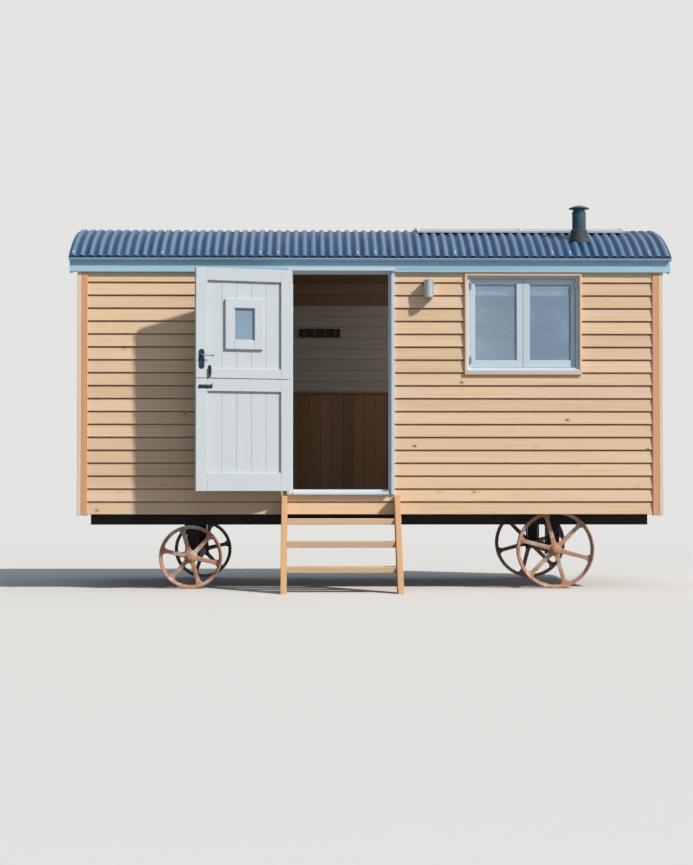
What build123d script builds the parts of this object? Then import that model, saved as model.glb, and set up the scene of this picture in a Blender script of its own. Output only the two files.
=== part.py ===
from build123d import *

import os
from math import asin, ceil, cos, radians, sin

# A shepherd's hut on four cast wheels: a boarded timber body, a barrel roof of corrugated
# sheet, a stable door in two leaves over three steps, one casement window and a short flue.
# Millimetres. +X runs along the hut, to the right as seen from the door side, -Y is the
# door side and +Z is up. The pieces are drawn about the middle of the body and moved at the
# end, so that the origin is on the ground in the middle of all that stands there.

# Body
body_length = 5030          # over the boards of both ends
body_width = 2300           # over the boards of front and back
board_butt = 22             # thickness of the cladding at a board's lower edge
board_tip = 9               # thickness where the next board laps over it
course = 111                # height of one course of boards
wall_frame = 63             # studs, insulation and lining behind the boards
post_stands_out = 5         # corner post beyond the boards

# Heights, each counted from the piece below it
wheel_headroom = 20         # over the larger wheels, under the floor
rail_height = 145           # chassis rails
skirt_drop = 50             # boards below the underside of the floor
post_drop = 10              # corner posts below the boards
rim_drop = 38               # rim joist behind them below the underside of the floor
rim_joist = 36
platform_thickness = 118
floor_boards = 22
wall_height = 1938          # over the platform
fascia_drop = 24            # fascia's lower edge below the top of the walls
eave_rise = 116             # edge of the sheets above the top of the walls
roof_rise = 350             # crown above the edge of the sheets

# Roof
eave_overhang = 70          # edge of the sheets beyond the boards
verge_reach = 76            # roof beyond the end boards, to the nearest corrugation
roof_pitch = 76.2           # from one corrugation to the next
wave_depth = 19
roof_strips = 7             # flat runs from eave to eave
sheet_thickness = 2
deck_thickness = 20
deck_setback = 8            # deck edge behind the sheet's edge
ceiling_thickness = 60      # ribs, insulation and ceiling boards
verge_overhang = 6          # sheet beyond the bargeboard
fascia_thickness = 29
bargeboard_thickness = 22
bargeboard_depth = 125
seat = 0.3                  # working gap where a piece sits on a curved one

# Doorway and door
door_middle = -258
doorway_width = 823
door_head_height = 36
threshold_rise = 23         # over the floor
lip_rise = 27               # threshold in front of the leaf's foot, over the platform
threshold_nose = 20         # beyond the door frame
nose_bevel = 6
frame_jamb = 44             # face of the door frame beside the doorway
frame_stands_out = 15       # door frame beyond the boards
leaf_lap = 15               # how far each leaf covers the frame's stops
leaf_gap = 7                # clearance round a closed leaf
leaf_thickness = 44
leaf_foot_gap = 6           # over the threshold's lip
lower_leaf_height = 949
leaf_split_gap = 6
head_lap = 18               # how far the upper leaf covers the head
stile = 100
upper_top_rail = 105
upper_bottom_rail = 82
lower_top_rail = 104
lower_bottom_rail = 152
panel_recess = 12
panel_boards = 5
groove_width = 8
groove_depth = 3
light_width = 180
light_height = 277
light_rise = 460            # middle of the small glazed light over the upper leaf's foot
surround_width = 337
surround_height = 426
surround_stands_out = 3     # beyond the face of the leaf's rails
glass_thickness = 6
door_open_angle = 161.5     # as it stands, from closed
pivot_stands_out = 14       # hinge axis in front of the closed leaf
knuckle_radius = 9
knuckle_sides = 8
knuckle_height = 38
knuckle_gap = 1             # between the leaf's knuckle and the one that it stands on
frame_knuckle = 30
pin_radius = 5
pin_gap = 0.3
pin_stands_up = 6           # pin above the leaf's knuckle
strap_length = 330
strap_height = 38
strap_tip_height = 22
strap_thickness = 4
hinge_inset = 130           # hinges' middles from the leaf's head and foot
latch_inset = 23            # from the leaf's free edge
latch_plate_width = 50
latch_rise = 76             # latch plates over the upper leaf's foot
latch_plate_height = 167
latch_plate = 3
lever_rise = 113            # lever over the foot of its plate
lever_length = 105
lever_height = 15
lever_thickness = 9
lever_neck = 34
lever_neck_side = 16
hook_inset = 119
hook_rise = 7               # hook over the upper leaf's foot
hook_height = 89
hook_width = 11
hook_eye_width = 32
bolt_length = 119
bolt_height = 30
bolt_drop = 66              # bolt below the lower leaf's head
bolt_rod = 12

# Window
window_middle = 1315
window_width = 970
window_drop = 28            # window below the fascia
window_height = 832
window_setback = 12         # behind the faces of the boards
window_jamb = 30
window_head = 22
window_sill = 42
window_depth = 70
sash_stile = 50
sash_rail = 55
sash_thickness = 40
sash_gap = 3
sash_setback = 2            # behind the face of the frame
butt_height = 62
butt_width = 14
butt_stands_out = 8
butt_inset = 60             # from the sash's corners to the hinges' middles
trim_width = 20
trim_stands_out = 6
nosing_height = 28          # sill's nosing
nosing_stands_out = 14      # beyond the boards
nosing_fall = 6
blind_height = 90
blind_depth = 26

# Running gear
front_axle_inset = 965      # from the end boards
rear_axle_inset = 915
front_wheel_radius = 272
rear_wheel_radius = 335
wheel_inset = 110           # wheels' middle planes behind the boards
tread_width = 76
tread_sides = 48            # flats round the tread: four wheels repeat, so they are kept light
tread_band = 12
rim_depth = 30
rim_sides = 36              # flats inside the rim, six to a spoke
rim_lap = 4                 # how far the spokes' web runs into the tread
spoke_count = 6
spoke_thickness = 24
spoke_hub_width = 40
spoke_rim_width = 32
spoke_flare = 30            # length over which a spoke widens into the rim
spoke_foot_width = 74
hub_radius = 40
collar_radius = 50          # where the spokes leave the hub
hub_length = 110
hub_wall = 18
hub_cap = 12                # the closed end stands on the hub as a smaller disc
hub_cap_radius = 29
hub_sides = 18
front_wheel_turn = 47
rear_wheel_turn = 45
axle_radius = 18
axle_gap = 0.3
axle_beam = 70
axle_end_gap = 5
axle_shoulder = 10          # between the beam's end and the hub
hanger_length = 90
hanger_width = 50
rail_from_wheel = 240       # chassis rails from the wheels' middle planes
rail_inset = 60             # rail ends behind the end walls
rail_width = 60
steel_thickness = 8
cross_member_width = 50
cross_member_depth = 100
end_member_inset = 233      # last cross members from the rails' ends

# Steps
steps_width = 1015
stringer_thickness = 50
stringer_drop = 8           # stringers' heads below the platform
stringer_nose = 85          # how far their heads stand out from the boards
stringer_depth = 233        # measured level
stringer_slope = 1.066667   # rise over run
steps_gap = 0.5             # between the stringers and the boards
top_tread_drop = 194        # treads below the stringers' heads
middle_tread_drop = 383
foot_tread_drop = 587
tread_thickness = 50
tread_depth = 215

# Lining, flue, roof panel and lamp
wainscot_height = 935
wainscot_thickness = 12
dado_height = 26
dado_depth = 30
dado_rise = 6               # slant under the dado rail
dado_gap = 1                # between the rail on the back wall and those on the ends
hook_rail_x = -430
hook_rail_rise = 1526       # over the floor
hook_rail_length = 400
hook_rail_height = 80
hook_rail_thickness = 20
peg_count = 4
peg_reach = 45
peg_rise = 22
peg_side = 10
flue_inset = 678            # from the end boards
flue_y = -850
flue_radius = 60            # to the corners of its flats, as for the boot and the wheels' hubs
flue_sides = 24
flue_rise = 135             # over the crown of the roof
cap_height = 30
cap_taper = 69              # of the cap's slope, from upright
cap_neck = 8                # neck's wall inside the pipe's
cap_neck_height = 30
cap_overhang = 30
boot_radius = 88            # at its foot
boot_taper = 6.3
boot_foot_drop = 262        # below the crown and the sheets, where the boot is cut to them
boot_head_drop = 82
panel_left = 430
panel_inset = 300           # from the roof's end
panel_front = -600
panel_back = 450
panel_thickness = 18
lamp_x = 500
lamp_drop = 143             # lamp's middle below the fascia
lamp_radius = 40
lamp_reach = 100
lamp_height = 148
lamp_shell = 3
lamp_sides = 24

half_length = body_length / 2
half_width = body_width / 2
frame_x = half_length - board_butt
frame_y = half_width - board_butt
room_x = frame_x - wall_frame
room_y = frame_y - wall_frame
post_x = half_length + post_stands_out
post_y = half_width + post_stands_out
post_side = post_stands_out + board_butt + wall_frame
underfloor_level = 2 * rear_wheel_radius + wheel_headroom
rail_level = underfloor_level - rail_height
rim_level = underfloor_level - rim_drop
skirt_level = underfloor_level - skirt_drop
post_level = skirt_level - post_drop
platform_level = underfloor_level + platform_thickness
floor_level = platform_level + floor_boards
wall_top_level = platform_level + wall_height
eave_board_level = wall_top_level - fascia_drop
crown_level = wall_top_level + eave_rise + roof_rise
roof_reach = half_width + eave_overhang
roof_radius = (roof_reach**2 + roof_rise**2) / (2 * roof_rise)
roof_axis = crown_level - roof_radius
roof_waves = round(2 * (half_length + verge_reach) / roof_pitch)
roof_half = roof_pitch * roof_waves / 2
eave_angle = asin(roof_reach / roof_radius)
strip_angle = 2 * eave_angle / roof_strips
strip_radius = roof_radius * cos(strip_angle / 2)
deck_radius = strip_radius - wave_depth - sheet_thickness - seat
under_deck = deck_radius - deck_thickness
arc_seat = under_deck - seat
deck_reach = roof_reach - deck_setback
fascia_y = frame_y + fascia_thickness
verge_x = roof_half - verge_overhang
barge_inner_x = verge_x - bargeboard_thickness
frame_width = doorway_width + 2 * frame_jamb
frame_left = door_middle - frame_width / 2
frame_right = door_middle + frame_width / 2
frame_front = half_width + frame_stands_out
frame_top = wall_top_level
doorway_top = frame_top - door_head_height
threshold_level = floor_level + threshold_rise
threshold_lip = platform_level + lip_rise
leaf_foot_level = threshold_lip + leaf_foot_gap
leaf_split_level = leaf_foot_level + lower_leaf_height
upper_foot = leaf_split_level + leaf_split_gap
leaf_top_level = doorway_top + head_lap
light_level = upper_foot + light_rise
latch_plate_foot = upper_foot + latch_rise
lever_level = latch_plate_foot + lever_rise
hook_foot = upper_foot + hook_rise
bolt_level = leaf_split_level - bolt_drop
upper_hinge_levels = (leaf_top_level - hinge_inset, upper_foot + hinge_inset)
lower_hinge_levels = (leaf_split_level - hinge_inset, leaf_foot_level + hinge_inset)
leaf_width = doorway_width + 2 * leaf_lap
rebate_width = leaf_width + 2 * leaf_gap
rebate_y = frame_front - leaf_thickness - leaf_gap
pivot_x = door_middle - rebate_width / 2 + leaf_gap / 2
pivot_y = -(frame_front + pivot_stands_out)
window_left = window_middle - window_width / 2
window_right = window_middle + window_width / 2
window_top = eave_board_level - window_drop
window_foot = window_top - window_height
window_front = half_width - window_setback
wheel_track = body_width - 2 * wheel_inset
front_axle_x = front_axle_inset - half_length
rear_axle_x = half_length - rear_axle_inset
rail_setting = wheel_track / 2 - rail_from_wheel
rail_half = frame_x - rail_inset
stringer_head = platform_level - stringer_drop
stringer_foot_front = stringer_nose + stringer_head / stringer_slope
stringer_foot_back = stringer_foot_front - stringer_depth


def box_between(low, high):
    """A plain timber or plate between two opposite corners."""
    with BuildPart() as piece:
        with Locations([tuple((a + b) / 2 for a, b in zip(low, high))]):
            Box(*(b - a for a, b in zip(low, high)))
    return piece


def barrel_line(radius):
    """The strips across the hut, their middles at this radius, as (across, level)."""
    corner = radius / cos(strip_angle / 2)
    turns = [strip * strip_angle - eave_angle for strip in range(-1, roof_strips + 2)]
    return [(corner * sin(turn), roof_axis + corner * cos(turn)) for turn in turns]


def arched_block(start, length, radius, width, foot):
    """A block across the hut whose top follows the barrel."""
    top = barrel_line(radius)
    with BuildPart() as piece:
        with BuildSketch(Plane.YZ.offset(start)):
            with BuildLine():
                Polyline((top[0][0], 0), *top, (top[-1][0], 0), close=True)
            make_face()
            with Locations((0, (foot + crown_level) / 2)):
                Rectangle(width, crown_level - foot, mode=Mode.INTERSECT)
        extrude(amount=length)
    return piece


def barrel_band(start, length, outer, thickness, near, far):
    """A stretch of the barrel, from one upright plane across the hut to another."""
    with BuildPart() as piece:
        with BuildSketch(Plane.YZ.offset(start)):
            with BuildLine():
                Polyline(
                    *barrel_line(outer), *reversed(barrel_line(outer - thickness)), close=True
                )
            make_face()
            with Locations(((near + far) / 2, roof_axis + outer / 2)):
                Rectangle(far - near, outer, mode=Mode.INTERSECT)
        extrude(amount=length)
    return piece


def lapped_boards(face, length, top):
    """Feather-edged boards lapping downwards on the side at -Y, their butts at -face."""
    back = face - board_butt
    outline = [(-back, skirt_level)]
    for row in range(ceil((top - skirt_level) / course)):
        foot = skirt_level + row * course
        head = min(foot + course, top)
        tip = board_butt - (board_butt - board_tip) * (head - foot) / course
        outline += [(-face, foot), (-(back + tip), head)]
    outline.append((-back, top))
    with BuildPart() as boards:
        with BuildSketch(Plane.YZ.offset(-length / 2)):
            with BuildLine():
                Polyline(*outline, close=True)
            make_face()
        extrude(amount=length)
    return boards


# Floor: a framed platform, a rim joist below its edge and the boards inside the walls
with BuildPart() as floor:
    with BuildSketch(Plane.XY.offset(rim_level)):
        Rectangle(2 * frame_x, 2 * frame_y)
        Rectangle(2 * (frame_x - rim_joist), 2 * (frame_y - rim_joist), mode=Mode.SUBTRACT)
    extrude(amount=underfloor_level - rim_level)
    with BuildSketch(Plane.XY.offset(underfloor_level)):
        Rectangle(2 * frame_x, 2 * frame_y)
    extrude(amount=platform_level - underfloor_level)
    with BuildSketch(Plane.XY.offset(platform_level)):
        Rectangle(2 * room_x, 2 * room_y)
    extrude(amount=floor_level - platform_level)
    with BuildSketch(Plane.XY.offset(rim_level)):
        with GridLocations(2 * post_x, 2 * post_y, 2, 2):
            Rectangle(2 * post_side, 2 * post_side)
    extrude(amount=floor_level - rim_level, mode=Mode.SUBTRACT)

# Corner posts: square, a little proud of the boards, notched behind the fascia
with BuildPart() as corner_posts:
    with BuildSketch(Plane.XY.offset(post_level)):
        with GridLocations(2 * post_x - post_side, 2 * post_y - post_side, 2, 2):
            Rectangle(post_side, post_side)
    extrude(amount=wall_top_level - post_level)
    with BuildSketch(Plane.XY.offset(eave_board_level)):
        Rectangle(2 * post_x, 2 * post_y)
        Rectangle(2 * post_x, 2 * frame_y, mode=Mode.SUBTRACT)
    extrude(amount=wall_top_level - eave_board_level, mode=Mode.SUBTRACT)


def front_panel(left, right, foot, top):
    """An upright stretch of the front wall's frame."""
    return box_between((left, -frame_y, foot), (right, -room_y, top))


# Front wall: panels beside the doorway and round the window
front_wall_left = front_panel(-room_x, frame_left, platform_level, wall_top_level)
front_wall_middle = front_panel(frame_right, window_left, platform_level, wall_top_level)
front_wall_right = front_panel(window_right, room_x, platform_level, wall_top_level)
front_wall_under_window = front_panel(window_left, window_right, platform_level, window_foot)
front_wall_over_window = front_panel(window_left, window_right, window_top, wall_top_level)

back_wall = box_between((-room_x, room_y, platform_level), (room_x, frame_y, wall_top_level))

# End walls: arched at the top under the roof deck
with BuildPart() as end_walls:
    add(arched_block(room_x, wall_frame, arc_seat, 2 * room_y, platform_level).part)
    mirror(about=Plane.YZ)

# Front boards, cut out round the door frame and the window
with BuildPart() as front_boards:
    add(lapped_boards(half_width, 2 * room_x, eave_board_level).part)
    with Locations((door_middle, -half_width, (platform_level + frame_top) / 2)):
        Box(frame_width, 3 * board_butt, frame_top - platform_level, mode=Mode.SUBTRACT)
    with Locations((window_middle, -half_width, (window_foot + window_top) / 2)):
        Box(
            window_width + 2 * trim_width,
            3 * board_butt,
            window_height + 2 * trim_width,
            mode=Mode.SUBTRACT,
        )

with BuildPart() as back_boards:
    add(lapped_boards(half_width, 2 * room_x, eave_board_level).part, rotation=(0, 0, 180))

# End boards, following the roof
with BuildPart() as end_boards:
    add(lapped_boards(half_length, 2 * room_y, crown_level).part, rotation=(0, 0, 90))
    add(arched_block(frame_x, board_butt, arc_seat, 2 * room_y, skirt_level).part, mode=Mode.INTERSECT)
    mirror(about=Plane.YZ)

# Eave beams: on the walls and posts, running out to carry the bargeboards
with BuildPart() as eave_beams:
    add(arched_block(-barge_inner_x, 2 * barge_inner_x, arc_seat, 2 * frame_y, wall_top_level).part)
    with Locations((0, 0, (wall_top_level + crown_level) / 2)):
        Box(2 * roof_half, 2 * room_y, crown_level - wall_top_level, mode=Mode.SUBTRACT)

# Eave boards, the front one notched over the door frame
with BuildPart() as fascias:
    add(arched_block(-verge_x, 2 * verge_x, arc_seat, 2 * fascia_y, eave_board_level).part)
    with Locations((0, 0, (eave_board_level + crown_level) / 2)):
        Box(2 * roof_half, 2 * frame_y, crown_level - eave_board_level, mode=Mode.SUBTRACT)
    with Locations((door_middle, -fascia_y, (eave_board_level + frame_top) / 2)):
        Box(frame_width, 2 * fascia_thickness, frame_top - eave_board_level, mode=Mode.SUBTRACT)

# Bargeboards: curved boards closing the roof's ends
with BuildPart() as bargeboards:
    add(
        barrel_band(
            barge_inner_x, bargeboard_thickness, arc_seat, bargeboard_depth, -frame_y, frame_y
        ).part
    )
    mirror(about=Plane.YZ)

# Roof deck and ceiling
roof_deck = barrel_band(
    -roof_half, 2 * roof_half, deck_radius, deck_thickness, -deck_reach, deck_reach
)
ceiling = barrel_band(-room_x, 2 * room_x, arc_seat, ceiling_thickness, -room_y, room_y)

# Corrugated sheets: one wavy section taken from eave to eave over a few flat strips
corners = [
    (0, roof_radius * sin(turn), roof_axis + roof_radius * cos(turn))
    for turn in (strip * strip_angle - eave_angle for strip in range(roof_strips + 1))
]
first_strip = Vector(corners[1]) - Vector(corners[0])
upper_line = [(-roof_half, -wave_depth)]
for wave in range(roof_waves):
    crest = (wave + 0.5) * roof_pitch - roof_half
    upper_line += [(crest, 0), (crest + roof_pitch / 2, -wave_depth)]
lower_line = [(x, height - sheet_thickness) for x, height in upper_line]
with BuildPart() as roof_sheets:
    with BuildLine() as over_the_roof:
        Polyline(*corners)
    with BuildSketch(Plane(origin=corners[0], x_dir=(-1, 0, 0), z_dir=first_strip)):
        with BuildLine():
            Polyline(*upper_line, *reversed(lower_line), close=True)
        make_face()
    sweep(path=over_the_roof.line, transition=Transition.RIGHT)

# Low panel over the crown of the roof
roof_panel = barrel_band(
    panel_left,
    roof_half - panel_inset - panel_left,
    strip_radius + seat + panel_thickness,
    panel_thickness,
    panel_front,
    panel_back,
)

# Flue: a pipe with a rain cap, on a boot that is cut to the strip of roof below it
flue_strip = int((asin(flue_y / roof_radius) + eave_angle) / strip_angle)
flue_turn = (flue_strip + 0.5) * strip_angle - eave_angle
flue_x = half_length - flue_inset
on_the_strip = Plane(
    origin=(0, 0, roof_axis), x_dir=(1, 0, 0), z_dir=(0, sin(flue_turn), cos(flue_turn))
).offset(strip_radius + seat)
boot_head_level = crown_level - boot_head_drop


def flue_outline(level):
    """A horizontal plane at a level, centred on the flue."""
    return Plane((flue_x, flue_y, level))


with BuildPart() as flue_boot:
    with BuildSketch(flue_outline(crown_level - boot_foot_drop)):
        RegularPolygon(boot_radius, flue_sides)
    extrude(amount=boot_foot_drop - boot_head_drop, taper=boot_taper)
    split(bisect_by=on_the_strip, keep=Keep.TOP)

cap_level = crown_level + flue_rise - cap_height
neck_level = cap_level - cap_neck_height
with BuildPart() as flue:
    with BuildSketch(flue_outline(cap_level)):
        RegularPolygon(flue_radius + cap_overhang, flue_sides)
    extrude(amount=cap_height, taper=cap_taper)
    with BuildSketch(flue_outline(neck_level)):
        RegularPolygon(flue_radius - cap_neck, flue_sides)
    extrude(amount=cap_neck_height)
    with BuildSketch(flue_outline(boot_head_level)):
        RegularPolygon(flue_radius, flue_sides)
    extrude(amount=neck_level - boot_head_level)

# Door frame: rebated jambs and head, and a threshold with a nose
with BuildPart() as door_jambs:
    with BuildSketch(Plane.XY.offset(platform_level)):
        with Locations((door_middle, -(frame_front + room_y) / 2)):
            Rectangle(frame_width, frame_front - room_y)
            Rectangle(doorway_width, frame_front - room_y, mode=Mode.SUBTRACT)
        with Locations((door_middle, -(frame_front + rebate_y) / 2)):
            Rectangle(rebate_width, frame_front - rebate_y, mode=Mode.SUBTRACT)
    extrude(amount=doorway_top - platform_level)

rebate_top = leaf_top_level + leaf_gap
with BuildPart() as door_head:
    with BuildSketch(Plane.YZ.offset(frame_left)):
        with BuildLine():
            Polyline(
                (-frame_front, rebate_top),
                (-rebate_y, rebate_top),
                (-rebate_y, doorway_top),
                (-room_y, doorway_top),
                (-room_y, frame_top),
                (-frame_front, frame_top),
                close=True,
            )
        make_face()
    extrude(amount=frame_width)
    with BuildSketch(Plane.XY.offset(doorway_top)):
        with Locations((door_middle, -(frame_front + rebate_y) / 2)):
            Rectangle(frame_width, frame_front - rebate_y)
            Rectangle(rebate_width, frame_front - rebate_y, mode=Mode.SUBTRACT)
    extrude(amount=rebate_top - doorway_top)

nose_y = frame_front + threshold_nose
with BuildPart() as threshold:
    with BuildSketch(Plane.YZ.offset(door_middle - doorway_width / 2)):
        with BuildLine():
            Polyline(
                (-room_y, platform_level),
                (-nose_y, platform_level),
                (-nose_y, threshold_lip - nose_bevel),
                (-(nose_y - nose_bevel), threshold_lip),
                (-rebate_y, threshold_lip),
                (-rebate_y, threshold_level),
                (-room_y, threshold_level),
                close=True,
            )
        make_face()
    extrude(amount=doorway_width)

# Door leaves. A leaf's own plane stands on the hinge axis: u runs across the leaf from the
# hinge, its upright is +Z, and the outdoor face looks along the plane's normal.
swing = radians(door_open_angle)
across = (cos(swing), -sin(swing), 0)
outdoors = (-sin(swing), -cos(swing), 0)
leaf_upright = Plane(origin=(pivot_x, pivot_y, 0), x_dir=across, z_dir=outdoors)
leaf_inner = leaf_upright.offset(-(pivot_stands_out + leaf_thickness))
leaf_outer = leaf_upright.offset(-pivot_stands_out)
leaf_start = leaf_gap / 2
leaf_middle = leaf_start + leaf_width / 2
free_edge = leaf_start + leaf_width
panel_width = leaf_width - 2 * stile


def leaf_level(height):
    """The leaf's horizontal plane: u across it and the second axis towards the room side."""
    return Plane(origin=(pivot_x, pivot_y, height), x_dir=across, z_dir=(0, 0, 1))


def door_leaf(foot, head, bottom_rail, top_rail):
    """A framed leaf with grooved boards recessed between its rails on the room side."""
    panel_foot = foot + bottom_rail
    panel_head = head - top_rail
    panel_face = pivot_stands_out + leaf_thickness - panel_recess
    with BuildPart() as leaf:
        with BuildSketch(leaf_inner):
            with Locations((leaf_middle, (foot + head) / 2)):
                Rectangle(leaf_width, head - foot)
        extrude(amount=leaf_thickness)
        with BuildSketch(leaf_inner):
            with Locations((leaf_middle, (panel_foot + panel_head) / 2)):
                Rectangle(panel_width, panel_head - panel_foot)
        extrude(amount=panel_recess, mode=Mode.SUBTRACT)
        with BuildSketch(leaf_level(panel_foot)):
            for joint in range(1, panel_boards):
                u = leaf_start + stile + joint * panel_width / panel_boards
                with BuildLine():
                    Polyline(
                        (u - groove_width / 2, panel_face),
                        (u + groove_width / 2, panel_face),
                        (u, panel_face - groove_depth),
                        close=True,
                    )
                make_face()
        extrude(amount=panel_head - panel_foot, mode=Mode.SUBTRACT)
    return leaf


with BuildPart() as upper_door:
    add(door_leaf(upper_foot, leaf_top_level, upper_bottom_rail, upper_top_rail).part)
    with BuildSketch(leaf_inner.offset(panel_recess)):
        with Locations((leaf_middle, light_level)):
            Rectangle(surround_width, surround_height)
    extrude(amount=-(panel_recess + surround_stands_out))
    with BuildSketch(leaf_inner.offset(-surround_stands_out)):
        with Locations((leaf_middle, light_level)):
            Rectangle(light_width, light_height)
    extrude(amount=leaf_thickness + surround_stands_out, mode=Mode.SUBTRACT)

lower_door = door_leaf(leaf_foot_level, leaf_split_level, lower_bottom_rail, lower_top_rail)

with BuildPart() as upper_door_glass:
    with BuildSketch(leaf_inner.offset((leaf_thickness - glass_thickness) / 2)):
        with Locations((leaf_middle, light_level)):
            Rectangle(light_width - 2 * seat, light_height - 2 * seat)
    extrude(amount=glass_thickness)

# Hinges. On each leaf a tapered strap ends in a knuckle, which drops over a pin on the frame
def strap_hinge(level):
    """The leaf's half of a hinge."""
    with BuildPart() as strap:
        with BuildSketch(leaf_outer):
            with BuildLine():
                Polyline(
                    (leaf_start, level - strap_height / 2),
                    (strap_length, level - strap_tip_height / 2),
                    (strap_length, level + strap_tip_height / 2),
                    (leaf_start, level + strap_height / 2),
                    close=True,
                )
            make_face()
        extrude(amount=strap_thickness)
        with BuildSketch(leaf_level(level - knuckle_height / 2)):
            RegularPolygon(knuckle_radius, knuckle_sides)
            with Locations(((leaf_start + knuckle_radius) / 2, pivot_stands_out / 2)):
                Rectangle(knuckle_radius - leaf_start, pivot_stands_out)
            Circle(pin_radius + pin_gap, mode=Mode.SUBTRACT)
        extrude(amount=knuckle_height)
    return strap


def lever(face, side):
    """A lever handle on a leaf's face, pointing towards the hinge. Side is 1 outdoors."""
    with BuildPart() as handle:
        with BuildSketch(face):
            with Locations((spindle, lever_level)):
                Rectangle(lever_neck_side, lever_height)
        extrude(amount=side * lever_neck)
        with BuildSketch(face.offset(side * lever_neck)):
            with Locations((spindle + (lever_neck_side - lever_length) / 2, lever_level)):
                Rectangle(lever_length, lever_height)
        extrude(amount=side * lever_thickness)
    return handle


spindle = free_edge - latch_inset - latch_plate_width / 2
with BuildPart() as upper_door_ironwork:
    for level in upper_hinge_levels:
        add(strap_hinge(level).part)
    for face, side in ((leaf_inner, -1), (leaf_outer, 1)):
        with BuildSketch(face):
            with Locations((spindle, latch_plate_foot + latch_plate_height / 2)):
                Rectangle(latch_plate_width, latch_plate_height)
        extrude(amount=side * latch_plate)
        add(lever(face, side).part)
    with BuildSketch(leaf_inner):
        with Locations((free_edge - hook_inset, hook_foot + hook_height / 2)):
            Rectangle(hook_width, hook_height)
        with Locations((free_edge - hook_inset, hook_foot + hook_height - hook_eye_width / 2)):
            RegularPolygon(hook_eye_width / 2, knuckle_sides)
    extrude(amount=-latch_plate)

with BuildPart() as lower_door_ironwork:
    for level in lower_hinge_levels:
        add(strap_hinge(level).part)
    with BuildSketch(leaf_inner):
        with Locations((free_edge - latch_inset - bolt_length / 2, bolt_level)):
            Rectangle(bolt_length, bolt_height)
    extrude(amount=-latch_plate)
    with BuildSketch(leaf_inner.offset(-latch_plate)):
        with Locations((free_edge - latch_inset - bolt_length / 2, bolt_level)):
            Rectangle(bolt_length, bolt_rod)
    extrude(amount=-bolt_rod)

plate_right = pivot_x - leaf_gap / 2
plate_front = -(frame_front + strap_thickness)
with BuildPart() as door_hinge_pins:
    for level in (*upper_hinge_levels, *lower_hinge_levels):
        seat_level = level - knuckle_height / 2 - knuckle_gap
        pin_top = level + knuckle_height / 2 + pin_stands_up
        with BuildSketch(Plane.XY.offset(seat_level - frame_knuckle)):
            with Locations((pivot_x, pivot_y)):
                RegularPolygon(knuckle_radius, knuckle_sides)
            with Locations(((plate_right + pivot_x) / 2 - knuckle_radius / 2, (pivot_y - frame_front) / 2)):
                Rectangle(knuckle_radius, pivot_stands_out)
        extrude(amount=frame_knuckle)
        with BuildSketch(Plane.XY.offset(seat_level)):
            with Locations((pivot_x, pivot_y)):
                Circle(pin_radius)
        extrude(amount=pin_top - seat_level)
        with Locations(((frame_left + plate_right) / 2, (plate_front - frame_front) / 2, level)):
            Box(plate_right - frame_left, strap_thickness, 2 * frame_knuckle + knuckle_height)

# Window: frame with a sill, two sashes, their glass, and a thin trim round it
sash_field_width = window_width - 2 * window_jamb
sash_field_height = window_height - window_sill - window_head
sash_width = (sash_field_width - 3 * sash_gap) / 2
sash_height = sash_field_height - 2 * sash_gap
sash_level = window_foot + window_sill + sash_field_height / 2
sash_spacing = sash_width + sash_gap
butt_spacing = sash_height - 2 * butt_inset
with BuildPart() as window_frame:
    with BuildSketch(Plane.XZ.offset(window_front)):
        with Locations((window_middle, (window_foot + window_top) / 2)):
            Rectangle(window_width, window_height)
        with Locations((window_middle, sash_level)):
            Rectangle(sash_field_width, sash_field_height, mode=Mode.SUBTRACT)
    extrude(amount=-window_depth)
    with BuildSketch(Plane.YZ.offset(window_left)):
        with BuildLine():
            Polyline(
                (-window_front, window_foot),
                (-window_front, window_foot + nosing_height),
                (-(half_width + nosing_stands_out), window_foot + nosing_height - nosing_fall),
                (-(half_width + nosing_stands_out), window_foot),
                close=True,
            )
        make_face()
    extrude(amount=window_width)

with BuildPart() as window_sashes:
    with BuildSketch(Plane.XZ.offset(window_front - sash_setback)):
        with Locations((window_middle, sash_level)):
            with GridLocations(sash_spacing, 1, 2, 1):
                Rectangle(sash_width, sash_height)
                Rectangle(
                    sash_width - 2 * sash_stile, sash_height - 2 * sash_rail, mode=Mode.SUBTRACT
                )
    extrude(amount=-sash_thickness)
    # Butt hinges: a leaf on each outer stile, its knuckle lapping over the frame's face
    with BuildSketch(Plane.XZ.offset(window_front - sash_setback)):
        with Locations((window_middle, sash_level)):
            with GridLocations(sash_field_width - butt_width, butt_spacing, 2, 2):
                Rectangle(butt_width - 2 * sash_gap, butt_height)
    extrude(amount=sash_setback + seat)
    with BuildSketch(Plane.XZ.offset(window_front + seat)):
        with Locations((window_middle, sash_level)):
            with GridLocations(sash_field_width - butt_width / 2, butt_spacing, 2, 2):
                Rectangle(butt_width, butt_height)
    extrude(amount=butt_stands_out)

with BuildPart() as window_glass:
    with BuildSketch(Plane.XZ.offset(window_front - sash_setback - sash_thickness / 2)):
        with Locations((window_middle, sash_level)):
            with GridLocations(sash_spacing, 1, 2, 1):
                Rectangle(
                    sash_width - 2 * (sash_stile + seat), sash_height - 2 * (sash_rail + seat)
                )
    extrude(amount=-glass_thickness)

with BuildPart() as window_trim:
    with BuildSketch(Plane.XZ.offset(half_width + trim_stands_out)):
        with Locations((window_middle, (window_foot + window_top) / 2)):
            Rectangle(window_width + 2 * trim_width, window_height + 2 * trim_width)
            Rectangle(window_width, window_height, mode=Mode.SUBTRACT)
    extrude(amount=-(board_butt + trim_stands_out))

blind_front = room_y + blind_depth
blind_top = window_top - window_head
blind = box_between(
    (window_left + window_jamb, -blind_front, blind_top - blind_height),
    (window_right - window_jamb, -room_y, blind_top),
)

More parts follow.
